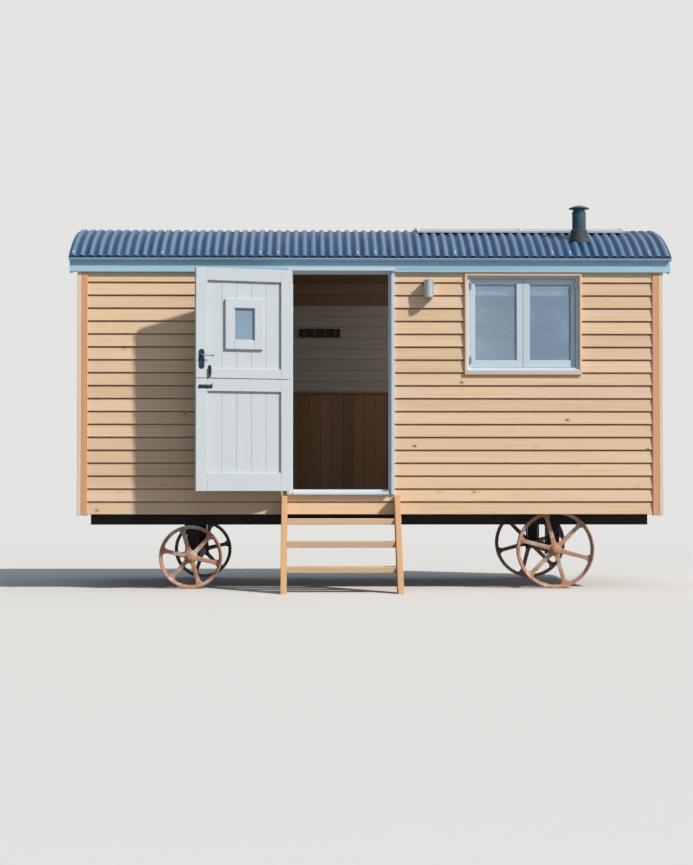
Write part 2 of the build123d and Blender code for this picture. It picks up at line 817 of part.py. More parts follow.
# Wall lamp: a half-round steel shade, open at the top and the foot, with a floor inside
shade_reach = lamp_reach - lamp_radius
lamp_level = eave_board_level - lamp_drop


def shade_outline(inset):
    """The shade's section in plan, its wall and back set in by a given amount."""
    with BuildSketch(mode=Mode.PRIVATE) as outline:
        with Locations((lamp_x, -(half_width + (shade_reach + inset) / 2))):
            Rectangle(2 * (lamp_radius - inset), shade_reach - inset)
        with Locations((lamp_x, -(half_width + shade_reach))):
            RegularPolygon(lamp_radius - inset, lamp_sides)
    return outline.sketch


with BuildPart() as lamp:
    with BuildSketch(Plane.XY.offset(lamp_level - lamp_height / 2)):
        add(shade_outline(0))
        add(shade_outline(lamp_shell), mode=Mode.SUBTRACT)
    extrude(amount=lamp_height)
    with BuildSketch(Plane.XY.offset(lamp_level - lamp_shell)):
        add(shade_outline(lamp_shell / 2))
    extrude(amount=2 * lamp_shell)

# Steps: two raking stringers and three treads between them
steps_back = half_width + steps_gap


def stringer_y(foot, level):
    """Distance from the hut's middle to the raking line that meets the ground at foot."""
    return half_width + foot - level / stringer_slope


with BuildPart() as step_stringers:
    with BuildSketch(Plane.YZ.offset(door_middle - steps_width / 2)):
        with BuildLine():
            Polyline(
                (-stringer_y(stringer_foot_front, 0), 0),
                (-stringer_y(stringer_foot_front, stringer_head), stringer_head),
                (-steps_back, stringer_head),
                (-steps_back, (stringer_foot_back - steps_gap) * stringer_slope),
                (-stringer_y(stringer_foot_back, 0), 0),
                close=True,
            )
        make_face()
    extrude(amount=stringer_thickness)
    mirror(about=Plane.YZ.offset(door_middle))

with BuildPart() as step_treads:
    for drop in (top_tread_drop, middle_tread_drop, foot_tread_drop):
        level = stringer_head - drop
        back = stringer_y(stringer_foot_back, level)
        with Locations((door_middle, -(back + tread_depth / 2), level - tread_thickness / 2)):
            Box(steps_width - 2 * stringer_thickness, tread_depth, tread_thickness)

# Chassis: two channel rails with their backs outwards, and cross members between them
with BuildPart() as chassis_rails:
    with BuildSketch(Plane.YZ.offset(-rail_half)):
        with Locations((-rail_setting, rail_level + rail_height / 2)):
            Rectangle(rail_width, rail_height)
        with Locations((-rail_setting + steel_thickness / 2, rail_level + rail_height / 2)):
            Rectangle(
                rail_width - steel_thickness,
                rail_height - 2 * steel_thickness,
                mode=Mode.SUBTRACT,
            )
    extrude(amount=2 * rail_half)
    mirror(about=Plane.XZ)

end_member_x = rail_half - end_member_inset
with BuildPart() as chassis_cross_members:
    for x in (-end_member_x, front_axle_x / 2, 0, rear_axle_x / 2, end_member_x):
        with Locations((x, 0, underfloor_level - cross_member_depth / 2)):
            Box(cross_member_width, 2 * rail_setting - rail_width, cross_member_depth)

# Axles: square beams hung from the rails, with round stubs for the wheels
hub_inner = (wheel_track - hub_length) / 2
hub_outer = (wheel_track + hub_length) / 2
stub_end = hub_outer - hub_wall - axle_end_gap
beam_end = hub_inner - axle_shoulder
with BuildPart() as axles:
    for x, height in ((front_axle_x, front_wheel_radius), (rear_axle_x, rear_wheel_radius)):
        with Locations((x, 0, height)):
            Box(axle_beam, 2 * beam_end, axle_beam)
            Cylinder(axle_radius, 2 * stub_end, rotation=(90, 0, 0))
        with BuildSketch(Plane.XY.offset(height)):
            with Locations((x, -rail_setting), (x, rail_setting)):
                Rectangle(hanger_length, hanger_width)
        extrude(amount=rail_level - height)


def cast_wheel(x, side, radius, turn):
    """Cast wheel: a broad tread, six flat spokes widening into the rim, and a closed hub."""
    middle = Plane(
        origin=(x, side * wheel_track / 2, radius), x_dir=(1, 0, 0), z_dir=(0, side, 0)
    )
    tread_inner = radius - tread_band
    rim_inner = radius - rim_depth
    spoke_outline = (
        (0, -spoke_hub_width / 2),
        (rim_inner - spoke_flare, -spoke_rim_width / 2),
        (rim_inner, -spoke_foot_width / 2),
        (rim_inner, spoke_foot_width / 2),
        (rim_inner - spoke_flare, spoke_rim_width / 2),
        (0, spoke_hub_width / 2),
    )
    with BuildPart() as wheel:
        with BuildSketch(middle):
            RegularPolygon(tread_inner + rim_lap, rim_sides, rotation=turn)
            RegularPolygon(rim_inner, rim_sides, rotation=turn, mode=Mode.SUBTRACT)
            RegularPolygon(collar_radius, hub_sides, rotation=turn)
            with PolarLocations(0, spoke_count, start_angle=turn):
                Polygon(*spoke_outline, align=None)
        extrude(amount=spoke_thickness / 2, both=True)
        with BuildSketch(middle):
            RegularPolygon(radius, tread_sides)
            RegularPolygon(tread_inner, rim_sides, rotation=turn, mode=Mode.SUBTRACT)
        extrude(amount=tread_width / 2, both=True)
        with BuildSketch(middle.offset(-hub_length / 2)):
            RegularPolygon(hub_radius, hub_sides, rotation=turn)
        extrude(amount=hub_length - hub_cap)
        with BuildSketch(middle.offset(hub_length / 2 - hub_cap)):
            RegularPolygon(hub_cap_radius, hub_sides, rotation=turn)
        extrude(amount=hub_cap)
        with BuildSketch(middle.offset(-hub_length / 2)):
            Circle(axle_radius + axle_gap)
        extrude(amount=hub_length - hub_wall, mode=Mode.SUBTRACT)
    return wheel


front_left_wheel = cast_wheel(front_axle_x, -1, front_wheel_radius, front_wheel_turn)
back_left_wheel = cast_wheel(front_axle_x, 1, front_wheel_radius, front_wheel_turn)
front_right_wheel = cast_wheel(rear_axle_x, -1, rear_wheel_radius, rear_wheel_turn)
back_right_wheel = cast_wheel(rear_axle_x, 1, rear_wheel_radius, rear_wheel_turn)

# Lining of the far side and the ends: boards up to a dado rail, and a rail with hooks
lining_end = room_x - dado_depth - dado_gap
wainscot_top = floor_level + wainscot_height


def lining_outline(wall):
    """Boards against a wall with the dado rail on top, in (distance from the middle, level)."""
    return (
        (wall, floor_level),
        (wall - wainscot_thickness, floor_level),
        (wall - wainscot_thickness, wainscot_top),
        (wall - dado_depth, wainscot_top + dado_rise),
        (wall - dado_depth, wainscot_top + dado_height),
        (wall, wainscot_top + dado_height),
    )


with BuildPart() as wainscot:
    with BuildSketch(Plane.YZ.offset(-lining_end)):
        Polygon(*lining_outline(room_y), align=None)
    extrude(amount=2 * lining_end)
    with BuildSketch(Plane.XZ.offset(-room_y)):
        Polygon(*lining_outline(room_x), align=None)
    extrude(amount=2 * room_y)
    mirror(about=Plane.YZ)

hook_rail_level = floor_level + hook_rail_rise
peg_root = room_y - hook_rail_thickness
peg_spacing = hook_rail_length / peg_count
with BuildPart() as hook_rail:
    with Locations((hook_rail_x, room_y - hook_rail_thickness / 2, hook_rail_level)):
        Box(hook_rail_length, hook_rail_thickness, hook_rail_height)
    with Locations((hook_rail_x, peg_root - peg_reach / 2, hook_rail_level)):
        with GridLocations(peg_spacing, 1, peg_count, 1):
            Box(peg_side, peg_reach, peg_side)
    with Locations((hook_rail_x, peg_root - peg_reach + peg_side / 2, hook_rail_level + peg_rise / 2)):
        with GridLocations(peg_spacing, 1, peg_count, 1):
            Box(peg_side, peg_side, peg_rise)

pieces = {
    "floor": floor,
    "corner_posts": corner_posts,
    "front_wall_left": front_wall_left,
    "front_wall_middle": front_wall_middle,
    "front_wall_right": front_wall_right,
    "front_wall_under_window": front_wall_under_window,
    "front_wall_over_window": front_wall_over_window,
    "back_wall": back_wall,
    "end_walls": end_walls,
    "front_boards": front_boards,
    "back_boards": back_boards,
    "end_boards": end_boards,
    "eave_beams": eave_beams,
    "fascias": fascias,
    "bargeboards": bargeboards,
    "roof_deck": roof_deck,
    "ceiling": ceiling,
    "roof_sheets": roof_sheets,
    "roof_panel": roof_panel,
    "flue": flue,
    "flue_boot": flue_boot,
    "door_jambs": door_jambs,
    "door_head": door_head,
    "threshold": threshold,
    "upper_door": upper_door,
    "upper_door_glass": upper_door_glass,
    "upper_door_ironwork": upper_door_ironwork,
    "lower_door": lower_door,
    "lower_door_ironwork": lower_door_ironwork,
    "door_hinge_pins": door_hinge_pins,
    "window_frame": window_frame,
    "window_sashes": window_sashes,
    "window_glass": window_glass,
    "window_trim": window_trim,
    "blind": blind,
    "lamp": lamp,
    "step_stringers": step_stringers,
    "step_treads": step_treads,
    "chassis_rails": chassis_rails,
    "chassis_cross_members": chassis_cross_members,
    "axles": axles,
    "front_left_wheel": front_left_wheel,
    "back_left_wheel": back_left_wheel,
    "front_right_wheel": front_right_wheel,
    "back_right_wheel": back_right_wheel,
    "wainscot": wainscot,
    "hook_rail": hook_rail,
}
to_footprint_middle = Location((0, (half_width + stringer_foot_front - roof_reach) / 2, 0))
os.makedirs("parts", exist_ok=True)
for name, piece in pieces.items():
    piece.part.move(to_footprint_middle)
    piece.part.label = name
    export_step(piece.part, f"parts/{name}.step")
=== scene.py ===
"""Looks of the shepherd's hut: a small add-on whose operators each build one group of pieces."""
import random
from math import asin, copysign, cos, pi, radians, sin

import bmesh
import bpy
from bpy.props import FloatProperty, FloatVectorProperty, IntProperty, PointerProperty
from mathutils import Matrix, Vector


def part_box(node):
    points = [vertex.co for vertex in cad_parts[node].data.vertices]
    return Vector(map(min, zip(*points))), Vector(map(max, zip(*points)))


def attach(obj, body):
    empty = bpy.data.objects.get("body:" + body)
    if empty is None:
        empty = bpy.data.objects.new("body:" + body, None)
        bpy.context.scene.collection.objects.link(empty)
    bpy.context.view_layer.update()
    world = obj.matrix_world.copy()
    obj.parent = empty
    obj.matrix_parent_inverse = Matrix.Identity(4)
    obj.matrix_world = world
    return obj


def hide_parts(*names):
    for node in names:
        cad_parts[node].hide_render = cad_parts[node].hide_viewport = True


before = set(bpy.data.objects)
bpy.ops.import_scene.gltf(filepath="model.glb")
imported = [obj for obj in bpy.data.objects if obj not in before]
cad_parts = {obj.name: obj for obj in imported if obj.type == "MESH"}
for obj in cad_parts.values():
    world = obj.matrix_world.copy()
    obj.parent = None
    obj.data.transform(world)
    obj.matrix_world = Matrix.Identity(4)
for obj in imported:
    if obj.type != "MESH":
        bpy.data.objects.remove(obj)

bl_info = {
    "name": "Shepherd's hut",
    "version": (1, 0, 0),
    "blender": (4, 5, 0),
    "location": "View3D > Sidebar > Hut",
    "description": "Builds the boards, roof, doors, window, wheels and studio of a shepherd's hut",
    "category": "Add Mesh",
}

MIDDLE = 0.3825             # the body's middle line, as the steps push the origin forward
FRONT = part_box("front_boards")[0].y
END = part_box("end_boards")[1].x
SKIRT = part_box("front_boards")[0].z
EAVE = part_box("fascias")[0].z
ROOM_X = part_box("front_boards")[1].x
ROOM_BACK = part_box("back_wall")[0].y
ROOF_RADIUS = 2.3013        # top of the corrugations
ROOF_AXIS = 0.9107
ROOF_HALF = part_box("roof_sheets")[1].x
EAVE_TURN = asin((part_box("roof_sheets")[1].y - MIDDLE) / ROOF_RADIUS)
SHEET = 0.0012              # thickness of the roof's steel
DECK_RADIUS = 2.2535        # underside of the deck boards
CEILING_RADIUS = 2.192
VERGE_INNER, VERGE_DEPTH, VERGE_THICKNESS = 2.127, 0.125, 0.022
HINGE = (-0.688, -0.7965)   # the axis of both leaves
HINGES = {"upper": (2.598, 1.926), "lower": (1.660, 0.971)}
LEAF = Matrix.Translation((*HINGE, 0)) @ Matrix.Rotation(radians(-161.5), 4, "Z")
LEAF_OUTSIDE, LEAF_INSIDE = 0.014, 0.058    # the leaf's two faces, from the hinge axis
STRAP = 0.019               # half a strap's height, and half its knuckle's
WINDOW_FRONT = -0.7555      # face of the window frame
AXLES = {"left": (-1.550, 0.272, 47), "right": (1.600, 0.335, 45)}  # x, wheel's radius, its turn
TRACK = 1.04                # wheels' middle planes from the middle line
SOFT, SOFT_IRON = 20, 29    # degrees: edges sharper than this stay sharp
FLAT = 0                    # every edge stays sharp


def linear(*colour):
    """A colour as it is seen, 0 to 255, in scene values."""
    values = [part / 255 for part in colour]
    return tuple(v / 12.92 if v <= 0.04045 else ((v + 0.055) / 1.055) ** 2.4 for v in values)


def shade(colour, *amounts):
    """A colour made darker or lighter, by one amount or by one for each of its parts."""
    return tuple(min(1.0, part * amount) for part, amount in zip(colour, amounts * 3))


BACKGROUND = linear(228, 228, 226)


def colour_of(label, words, *seen):
    return FloatVectorProperty(
        name=label, description=words, default=linear(*seen), subtype="COLOR", min=0, max=1)


def length_of(label, words, metres):
    return FloatProperty(name=label, description=words, default=metres, unit="LENGTH", min=0)


class HutColours(bpy.types.PropertyGroup):
    boards: colour_of("Boards", "Colour of the oiled boards", 221, 193, 160)
    posts: colour_of("Posts", "Colour of the corner posts", 219, 164, 124)
    corners: colour_of("Corner boards", "Colour of the boards over the posts' ends", 224, 206, 180)
    steps: colour_of("Steps", "Colour of the steps", 202, 174, 142)
    doors: colour_of("Door paint", "Paint of the two door leaves", 192, 199, 204)
    frames: colour_of("Frame paint", "Paint of the door frame and the window", 198, 210, 218)
    eaves: colour_of("Eaves paint", "Paint of the fascias, verge boards and deck edge", 168, 204, 222)
    roof: colour_of("Roof", "Coating of the corrugated sheets", 48, 94, 136)
    iron: colour_of("Ironwork", "Paint of the latch, bolt and hinges", 22, 42, 64)
    wheels: colour_of("Wheels", "Paint of the cast wheels", 186, 140, 112)
    chassis: colour_of("Chassis", "Paint of the rails and axles", 22, 22, 24)
    wainscot: colour_of("Wainscot", "Waxed boards below the dado", 152, 124, 96)
    lining: colour_of("Lining", "Paint of the wall boards above the dado", 196, 190, 180)
    ceiling: colour_of("Ceiling", "Boards of the ceiling and the frieze", 146, 124, 98)


class HutSizes(bpy.types.PropertyGroup):
    course: length_of("Course", "Height of one course of boards", 0.111)
    butt: length_of("Butt", "Thickness of a board at its foot", 0.022)
    tip: length_of("Tip", "Thickness of a board under the next one", 0.009)
    pitch: length_of("Pitch", "Distance between two corrugations", 0.0762)
    depth: length_of("Depth", "Depth of the corrugations", 0.019)
    sheet_waves: IntProperty(
        name="Waves a sheet", description="Corrugations that a roof sheet covers", default=10, min=4)
    seed: IntProperty(name="Seed", description="Seed of the small differences between boards", default=7)


# Finishes


class Nodes:
    """A node tree that is filled with one node after another."""

    def __init__(self, tree):
        self.tree = tree

    def join(self, socket, value):
        if isinstance(value, bpy.types.NodeSocket):
            self.tree.links.new(value, socket)
        elif hasattr(value, "__len__") and len(value) == 3 and len(socket.default_value) == 4:
            socket.default_value = (*value, 1.0)
        else:
            socket.default_value = value

    def add(self, kind, inputs=None, output=0, **settings):
        """Add a node and give back one of its outputs."""
        node = self.tree.nodes.new(f"ShaderNode{kind}")
        for name, value in settings.items():
            setattr(node, name, value)
        for socket, value in (inputs or {}).items():
            self.join(node.inputs[socket], value)
        return node.outputs[output]

    def noise(self, source, scale=1.0, detail=3.0, rough=0.5, bend=0.0):
        return self.add("TexNoise", {
            "Vector": source, "Scale": scale, "Detail": detail, "Roughness": rough, "Distortion": bend})

    def spread(self, value, low, high, to_low=0.0, to_high=1.0):
        inputs = {0: value, 1: low, 2: high, 3: to_low, 4: to_high}
        return self.add("MapRange", inputs, interpolation_type="SMOOTHSTEP")

    def math(self, operation, a, b=0.0):
        return self.add("Math", {0: a, 1: b}, operation=operation)

    def vector(self, operation, a, b=(0, 0, 0), output=0):
        return self.add("VectorMath", {0: a, 1: b}, output, operation=operation)

    def blend(self, factor, a, b, kind="MIX"):
        return self.add("Mix", {0: factor, 6: a, 7: b}, 2, data_type="RGBA", blend_type=kind)

    def split(self, source, axis):
        return self.add("SeparateXYZ", {0: source}, axis)

    def seen_directly(self):
        """1 for what the eye, a mirror or a pane sees, 0 for light that only falls on the hut."""
        kinds = ("Camera", "Glossy", "Transmission")
        camera, glossy, through = (self.add("LightPath", output=f"Is {kind} Ray") for kind in kinds)
        return self.math("MAXIMUM", self.math("MAXIMUM", camera, glossy), through)


class Finish(Nodes):
    """A material whose nodes are joined to its shader."""

    def __init__(self, name, roughness=0.6, metallic=0.0, gloss=None):
        self.material = bpy.data.materials.new(name)
        self.material.use_nodes = True
        super().__init__(self.material.node_tree)
        self.shader = self.tree.nodes["Principled BSDF"]
        self.set("Roughness", roughness)
        self.set("Metallic", metallic)
        if gloss is not None:
            self.set("Specular IOR Level", gloss)
        self.place = self.add("TexCoord", output="Object")

    def set(self, socket, value):
        self.join(self.shader.inputs[socket], value)

    def mapped(self, scale=(1, 1, 1), turn=(0, 0, 0), source=None):
        return self.add("Mapping", {"Vector": source or self.place, "Scale": scale, "Rotation": turn})

    def along(self, axis):
        """Coordinates whose first axis runs along the grain."""
        turns = {"X": (0, 0, 0), "Y": (0, 0, -pi / 2), "Z": (0, pi / 2, 0)}
        return self.mapped(turn=turns.get(axis, axis))

    def drawn(self, scale, detail, rough=0.5, bend=0.0, source=None):
        """Noise drawn out along its coordinates' first axis."""
        return self.noise(self.mapped(scale, source=source), 1, detail, rough, bend)

    def tone(self, name="tone"):
        return self.add("Attribute", output="Fac", attribute_name=name)

    def bump(self, height, distance, strength=1.0, under=None):
        inputs = {"Height": height, "Distance": distance, "Strength": strength}
        if under:
            inputs["Normal"] = under
        normal = self.add("Bump", inputs)
        self.set("Normal", normal)
        return normal

    def done(self, colour, roughness=None):
        """The material, with its colour and the roughness that varies over it."""
        self.set("Base Color", colour)
        if roughness is not None:
            self.set("Roughness", roughness)
        return self.material


def wood(name, colour, axis, spread=0.06, knots=1.0, rough=0.6, course=0.0):
    """Oiled softwood: every board its own tone, with fine grain, faint growth bands and knots; where a
    course is given, painted shade darkens the top of each course, under the next board's butt.
    """
    f = Finish(name, rough, gloss=0.15)
    tone = f.tone()
    shift = f.add("VectorMath", {0: (13.7, 5.1, 9.3), "Scale": tone}, operation="SCALE")
    place = f.vector("ADD", f.along(axis), shift)
    grain = f.drawn((1.1, 70, 70), 4, 0.6, 0.3, place)
    bands = f.drawn((0.45, 11, 11), 2, 0.5, 0.8, place)
    cloud = f.drawn((0.8, 3, 3), 2, source=place)
    late = shade(colour, 0.84, 0.74, 0.62)
    body = f.blend(f.spread(grain, 0.40, 0.72, 0.0, 0.42), shade(colour, 1.03), late)
    body = f.blend(f.spread(bands, 0.48, 0.72, 0.0, 0.30), body, late)
    body = f.blend(f.spread(cloud, 0.42, 0.62, 0.0, 0.6), body, shade(colour, 1.02, 0.96, 1.02))
    level = f.spread(tone, 0.0, 1.0, 1.0 - spread, 1.0 + spread)
    hue = f.math("FRACT", f.math("MULTIPLY", tone, 7.3))
    hue = f.spread(hue, 0.0, 1.0, 1.0 - 0.6 * spread, 1.0 + 0.6 * spread)
    tint = f.add("CombineColor", {0: level, 1: level, 2: f.math("MULTIPLY", level, hue)})
    body = f.blend(1.0, body, tint, "MULTIPLY")
    if knots:
        inputs = {"Vector": f.mapped((3.2, 5.5, 5.5), source=place), "Scale": 1.0}
        from_knot = f.add("TexVoronoi", inputs, "Distance")
        body = f.blend(f.spread(from_knot, 0.06, 0.20, 0.35 * knots, 0.0), body, late)
        knot = f.spread(from_knot, 0.035, 0.075, 0.85 * knots, 0.0)
        body = f.blend(knot, body, shade(colour, 0.28, 0.18, 0.10))
    # painted shade: the top of each course, under the overhanging butt of the board above, is darkened
    # towards deep brown
    if course:
        level = f.math("SUBTRACT", f.split(f.place, "Z"), SKIRT)
        share = f.math("FRACT", f.math("DIVIDE", level, course))
        body = f.blend(f.spread(share, 0.85, 0.94, 0.0, 0.75), body, shade(colour, 0.20, 0.12, 0.05))
    pores = f.bump(f.drawn((14, 420, 420), 2, source=place), 0.0003, 0.6)
    f.bump(grain, 0.0008, 0.5, pores)
    return f.done(body, f.spread(grain, 0.3, 0.7, rough + 0.08, rough - 0.08))


def joinery_paint(name, colour, axis):
    """Brushed eggshell paint, thin and rubbed along the edges."""
    f = Finish(name, 0.45, gloss=0.2)
    brush = f.drawn((3, 220, 220), 2, source=f.along(axis))
    cloud = f.noise(f.place, 3.5, 3, 0.6)
    body = f.blend(f.spread(brush, 0.3, 0.7), shade(colour, 0.985), shade(colour, 1.012))
    body = f.blend(f.spread(cloud, 0.45, 0.75, 0.0, 0.25), body, shade(colour, 0.90, 0.94, 0.95))
    chips = f.spread(f.noise(f.place, 46, 4, 0.7), 0.62, 0.68, 0.0, 0.7)
    bare_wood = (0.42, 0.33, 0.23)
    body = f.blend(f.math("MULTIPLY", chips, f.tone("edge")), body, bare_wood)
    f.bump(brush, 0.0001, 0.25)
    return f.done(body, f.spread(brush, 0.3, 0.7, 0.38, 0.52))


def roof_coating(colour):
    """Coated corrugated sheet: rain streaks down the slope, crests paled by chalky weathering and painted
    highlight, grooves darkened by grime and painted shade.
    """
    f = Finish("slate_blue_coating", 0.5, gloss=0.28)
    streaks = f.drawn((26, 0.9, 0.9), 4, 0.6)
    cloud = f.noise(f.place, 1.1, 4, 0.6)
    body = f.blend(f.spread(streaks, 0.3, 0.7), shade(colour, 0.93), shade(colour, 1.08))
    body = f.blend(f.spread(f.tone(), 0.0, 1.0, 0.0, 0.10), body, shade(colour, 0.8))
    out = f.vector("MULTIPLY", f.vector("SUBTRACT", f.place, (0, MIDDLE, ROOF_AXIS)), (0, 1, 1))
    radius = f.vector("LENGTH", out, output="Value")
    # painted highlight, partly chalky weathering: the crests are paled towards a light blue
    crest = f.spread(radius, ROOF_RADIUS - 0.014, ROOF_RADIUS - 0.002)
    chalk_and_highlight = f.math("MULTIPLY", crest, f.spread(cloud, 0.3, 0.7, 0.45, 0.9))
    body = f.blend(chalk_and_highlight, body, shade(colour, 4.4, 1.85, 1.25))
    # painted shade, partly grime: the grooves are darkened towards deep blue
    trough = f.spread(radius, ROOF_RADIUS - 0.019, ROOF_RADIUS - 0.006, 1.0, 0.0)
    grime_and_shade = f.math("MULTIPLY", trough, f.spread(f.noise(f.place, 5, 4, 0.6), 0.3, 0.6, 0.75, 1.0))
    body = f.blend(grime_and_shade, body, shade(colour, 0.14, 0.22, 0.32))
    f.bump(f.noise(f.place, 90, 3, 0.6), 0.0004, 0.4)
    return f.done(body, f.spread(streaks, 0.3, 0.7, 0.44, 0.6))


def cast_paint(name, colour, worn):
    """Primer on rough cast iron, chalky in patches and rusting through."""
    f = Finish(name, 0.78)
    patches = f.noise(f.place, 7.5, 5, 0.62)
    specks = f.noise(f.place, 58, 4, 0.6)
    body = f.blend(f.spread(specks, 0.35, 0.7), shade(colour, 0.78), shade(colour, 1.12))
    body = f.blend(f.spread(patches, 0.48, 0.62, 0.0, worn), body, linear(196, 190, 182))
    rust = f.noise(f.mapped(turn=(0.4, 0.9, 0.2)), 11, 5, 0.65)
    body = f.blend(f.spread(rust, 0.56, 0.70, 0.0, 0.6), body, linear(146, 88, 58))
    f.bump(f.noise(f.place, 160, 2, 0.6), 0.0006, 0.6, f.bump(specks, 0.0010, 0.7))
    return f.done(body, f.spread(patches, 0.3, 0.7, 0.70, 0.88))


def painted_steel(name, colour, rough=0.45, dust=0.3, grain=70):
    """Paint on steel with a little dust and orange peel."""
    f = Finish(name, rough, gloss=0.3)
    cloud = f.noise(f.place, 6, 4, 0.6)
    dusty = (colour[0] * 1.7 + 0.02, colour[1] * 1.6 + 0.018, colour[2] * 1.5 + 0.014)
    body = f.blend(f.spread(cloud, 0.4, 0.75, 0.0, dust), colour, dusty)
    scuffs = f.spread(f.noise(f.place, 40, 4, 0.7), 0.64, 0.70, 0.0, 0.6)
    body = f.blend(f.math("MULTIPLY", scuffs, f.tone("edge")), body, linear(120, 116, 110))
    f.bump(f.noise(f.place, grain, 2), 0.0002, 0.4)
    return f.done(body, f.spread(cloud, 0.3, 0.7, rough - 0.08, rough + 0.14))


def brushed_steel(name, axis, metallic=1.0):
    """Bare steel brushed along one axis."""
    f = Finish(name, 0.28, metallic)
    lines = f.drawn((3, 900, 900), 2, source=f.along(axis))
    smears = f.noise(f.place, 14, 3, 0.6)
    body = f.blend(f.spread(lines, 0.3, 0.7), linear(188, 194, 202), linear(200, 205, 211))
    body = f.blend(f.spread(smears, 0.45, 0.75, 0.0, 0.25), body, linear(150, 158, 170))
    return f.done(body, f.spread(smears, 0.3, 0.7, 0.30, 0.40))


def rubber(name, colour):
    """Dull rubber with a bloom of dust."""
    f = Finish(name, 0.85)
    bloom = f.spread(f.noise(f.place, 18, 4, 0.6), 0.4, 0.8)
    f.bump(f.noise(f.place, 240, 2), 0.0003, 0.5)
    return f.done(f.blend(bloom, colour, shade(colour, 1.9)))


def pane(name, colour, thickness):
    """Window glass: a part-opaque blue-grey coat, a painted reflection of the sky, that lets some of the
    room through, with faint dust.
    """
    f = Finish(name, 0.05)
    dust = f.noise(f.place, 3.5, 4, 0.6)
    f.set("Alpha", f.spread(dust, 0.3, 0.8, thickness, thickness + 0.05))
    f.set("IOR", 1.5)
    f.bump(f.noise(f.place, 2.2, 2), 0.0015, 0.25)
    # the glass's blue-grey colour is a painted reflection of the sky
    body = f.blend(f.spread(dust, 0.35, 0.75), shade(colour, 0.96), shade(colour, 1.06))
    return f.done(body, f.spread(dust, 0.4, 0.8, 0.03, 0.14))


def dark_panel(name):
    """Glossy dark cells under glass."""
    f = Finish(name, 0.12)
    cells = f.add("TexBrick", {
        "Vector": f.mapped(), "Color1": (0.010, 0.016, 0.035), "Color2": (0.014, 0.022, 0.046),
        "Mortar": (0.10, 0.12, 0.16), "Scale": 1.0, "Mortar Size": 0.0016,
        "Brick Width": 0.158, "Row Height": 0.158,
    }, "Color", offset=0.0)
    dust = f.spread(f.noise(f.place, 3, 5, 0.65), 0.45, 0.85, 0.0, 0.10)
    f.set("Coat Weight", 0.5)
    return f.done(f.blend(dust, cells, (0.30, 0.30, 0.28)), f.spread(dust, 0.0, 0.2, 0.10, 0.32))


def cloth(name, colour):
    """Plain weave, thin enough to glow a little."""
    f = Finish(name, 0.9)
    uv = f.add("UVMap", uv_map="weave")
    threads = {"Vector": uv, "Scale": 95.0, "Distortion": 1.0}
    weave = f.math("MULTIPLY", *(f.add("TexWave", threads, 1, bands_direction=axis) for axis in "XY"))
    body = f.blend(f.spread(weave, 0.0, 0.8), shade(colour, 0.86), shade(colour, 1.05))
    slubs = f.drawn((8, 90, 1), 3, 0.6, source=uv)
    body = f.blend(f.spread(slubs, 0.5, 0.75, 0.0, 0.3), body, shade(colour, 0.8))
    f.set("Sheen Weight", 0.15)
    f.bump(weave, 0.0004, 0.6)
    return f.done(body)


def grooved(name, colour, width, across, along):
    """Painted lining boards: a groove at every joint, seen from the room."""
    f = Finish(name, 0.6)
    row = f.math("DIVIDE", f.split(f.place, across), width)
    share = f.math("FRACT", row)
    joint = f.spread(f.math("MINIMUM", share, f.math("SUBTRACT", 1.0, share)), 0.0, 0.03)
    own = f.add("TexWhiteNoise", {"W": f.math("FLOOR", row)}, "Value", noise_dimensions="1D")
    grain = f.drawn((2, 50, 50), 4, 0.6, source=f.along(along))
    body = f.blend(f.spread(grain, 0.3, 0.7), shade(colour, 0.9), shade(colour, 1.04))
    body = f.blend(f.math("MULTIPLY", own, 0.25), body, shade(colour, 0.78))
    f.bump(joint, 0.003, 0.8, f.bump(grain, 0.0008, 0.5))
    return f.done(f.blend(joint, shade(colour, 0.22), body))


def studio_floor(name, colour, bounce):
    """Matt pale floor that runs out into the pale background."""
    f = Finish(name, 0.9, gloss=0.1)
    seen = f.seen_directly()
    mottle = f.blend(f.noise(f.place, 0.7, 3), shade(colour, 0.985), shade(colour, 1.01))
    away = f.spread(f.vector("LENGTH", f.place, output="Value"), 7.0, 20.0)
    glow = f.add("Emission", {"Color": BACKGROUND, "Strength": 1.0})
    mix = f.add("MixShader", {0: f.math("MULTIPLY", seen, away), 1: f.shader.outputs[0], 2: glow})
    f.join(f.tree.nodes["Material Output"].inputs["Surface"], mix)
    return f.done(f.blend(seen, bounce, mottle))


# Shapes


def new_shape(mesh=None):
    """An empty bmesh, or a mesh's copy, with layers for a board's own tone and for worn edges."""
    bm = bmesh.new()
    if mesh:
        bm.from_mesh(mesh)
    for layer in ("tone", "edge"):
        bm.faces.layers.float.new(layer)
    return bm


def give_tone(bm, tone, kind=0):
    """Give the faces added since the last call a tone and a material's place."""
    layer = bm.faces.layers.float["tone"]
    for face in bm.faces:
        if face[layer] == 0.0:
            face[layer] = tone
            face.material_index = kind


def verts_of(made):
    """The vertices among what an operator made."""
    return [item for item in made["geom"] if isinstance(item, bmesh.types.BMVert)]


def edges_of(verts):
    return {edge for vert in verts for edge in vert.link_edges}


def sharp_edges(edges, degrees):
    return [e for e in edges if len(e.link_faces) == 2 and e.calc_face_angle() > radians(degrees)]


def about(middle, half):
    """A span that reaches as far to both sides of its middle."""
    return middle - half, middle + half


def strips(start, end, count):
    """Neighbouring pairs of the levels that divide a length evenly."""
    levels = [start + (end - start) * k / count for k in range(count + 1)]
    return list(zip(levels, levels[1:]))


def ease(bm, edges, width, segments=2):
    """Round edges and mark the new faces as the ones that wear."""
    made = bmesh.ops.bevel(
        bm, geom=list(edges), offset=width, affect="EDGES", segments=segments, profile=0.5,
        material=-1, clamp_overlap=True)
    layer = bm.faces.layers.float["edge"]
    for face in made["faces"]:
        face[layer] = 1.0


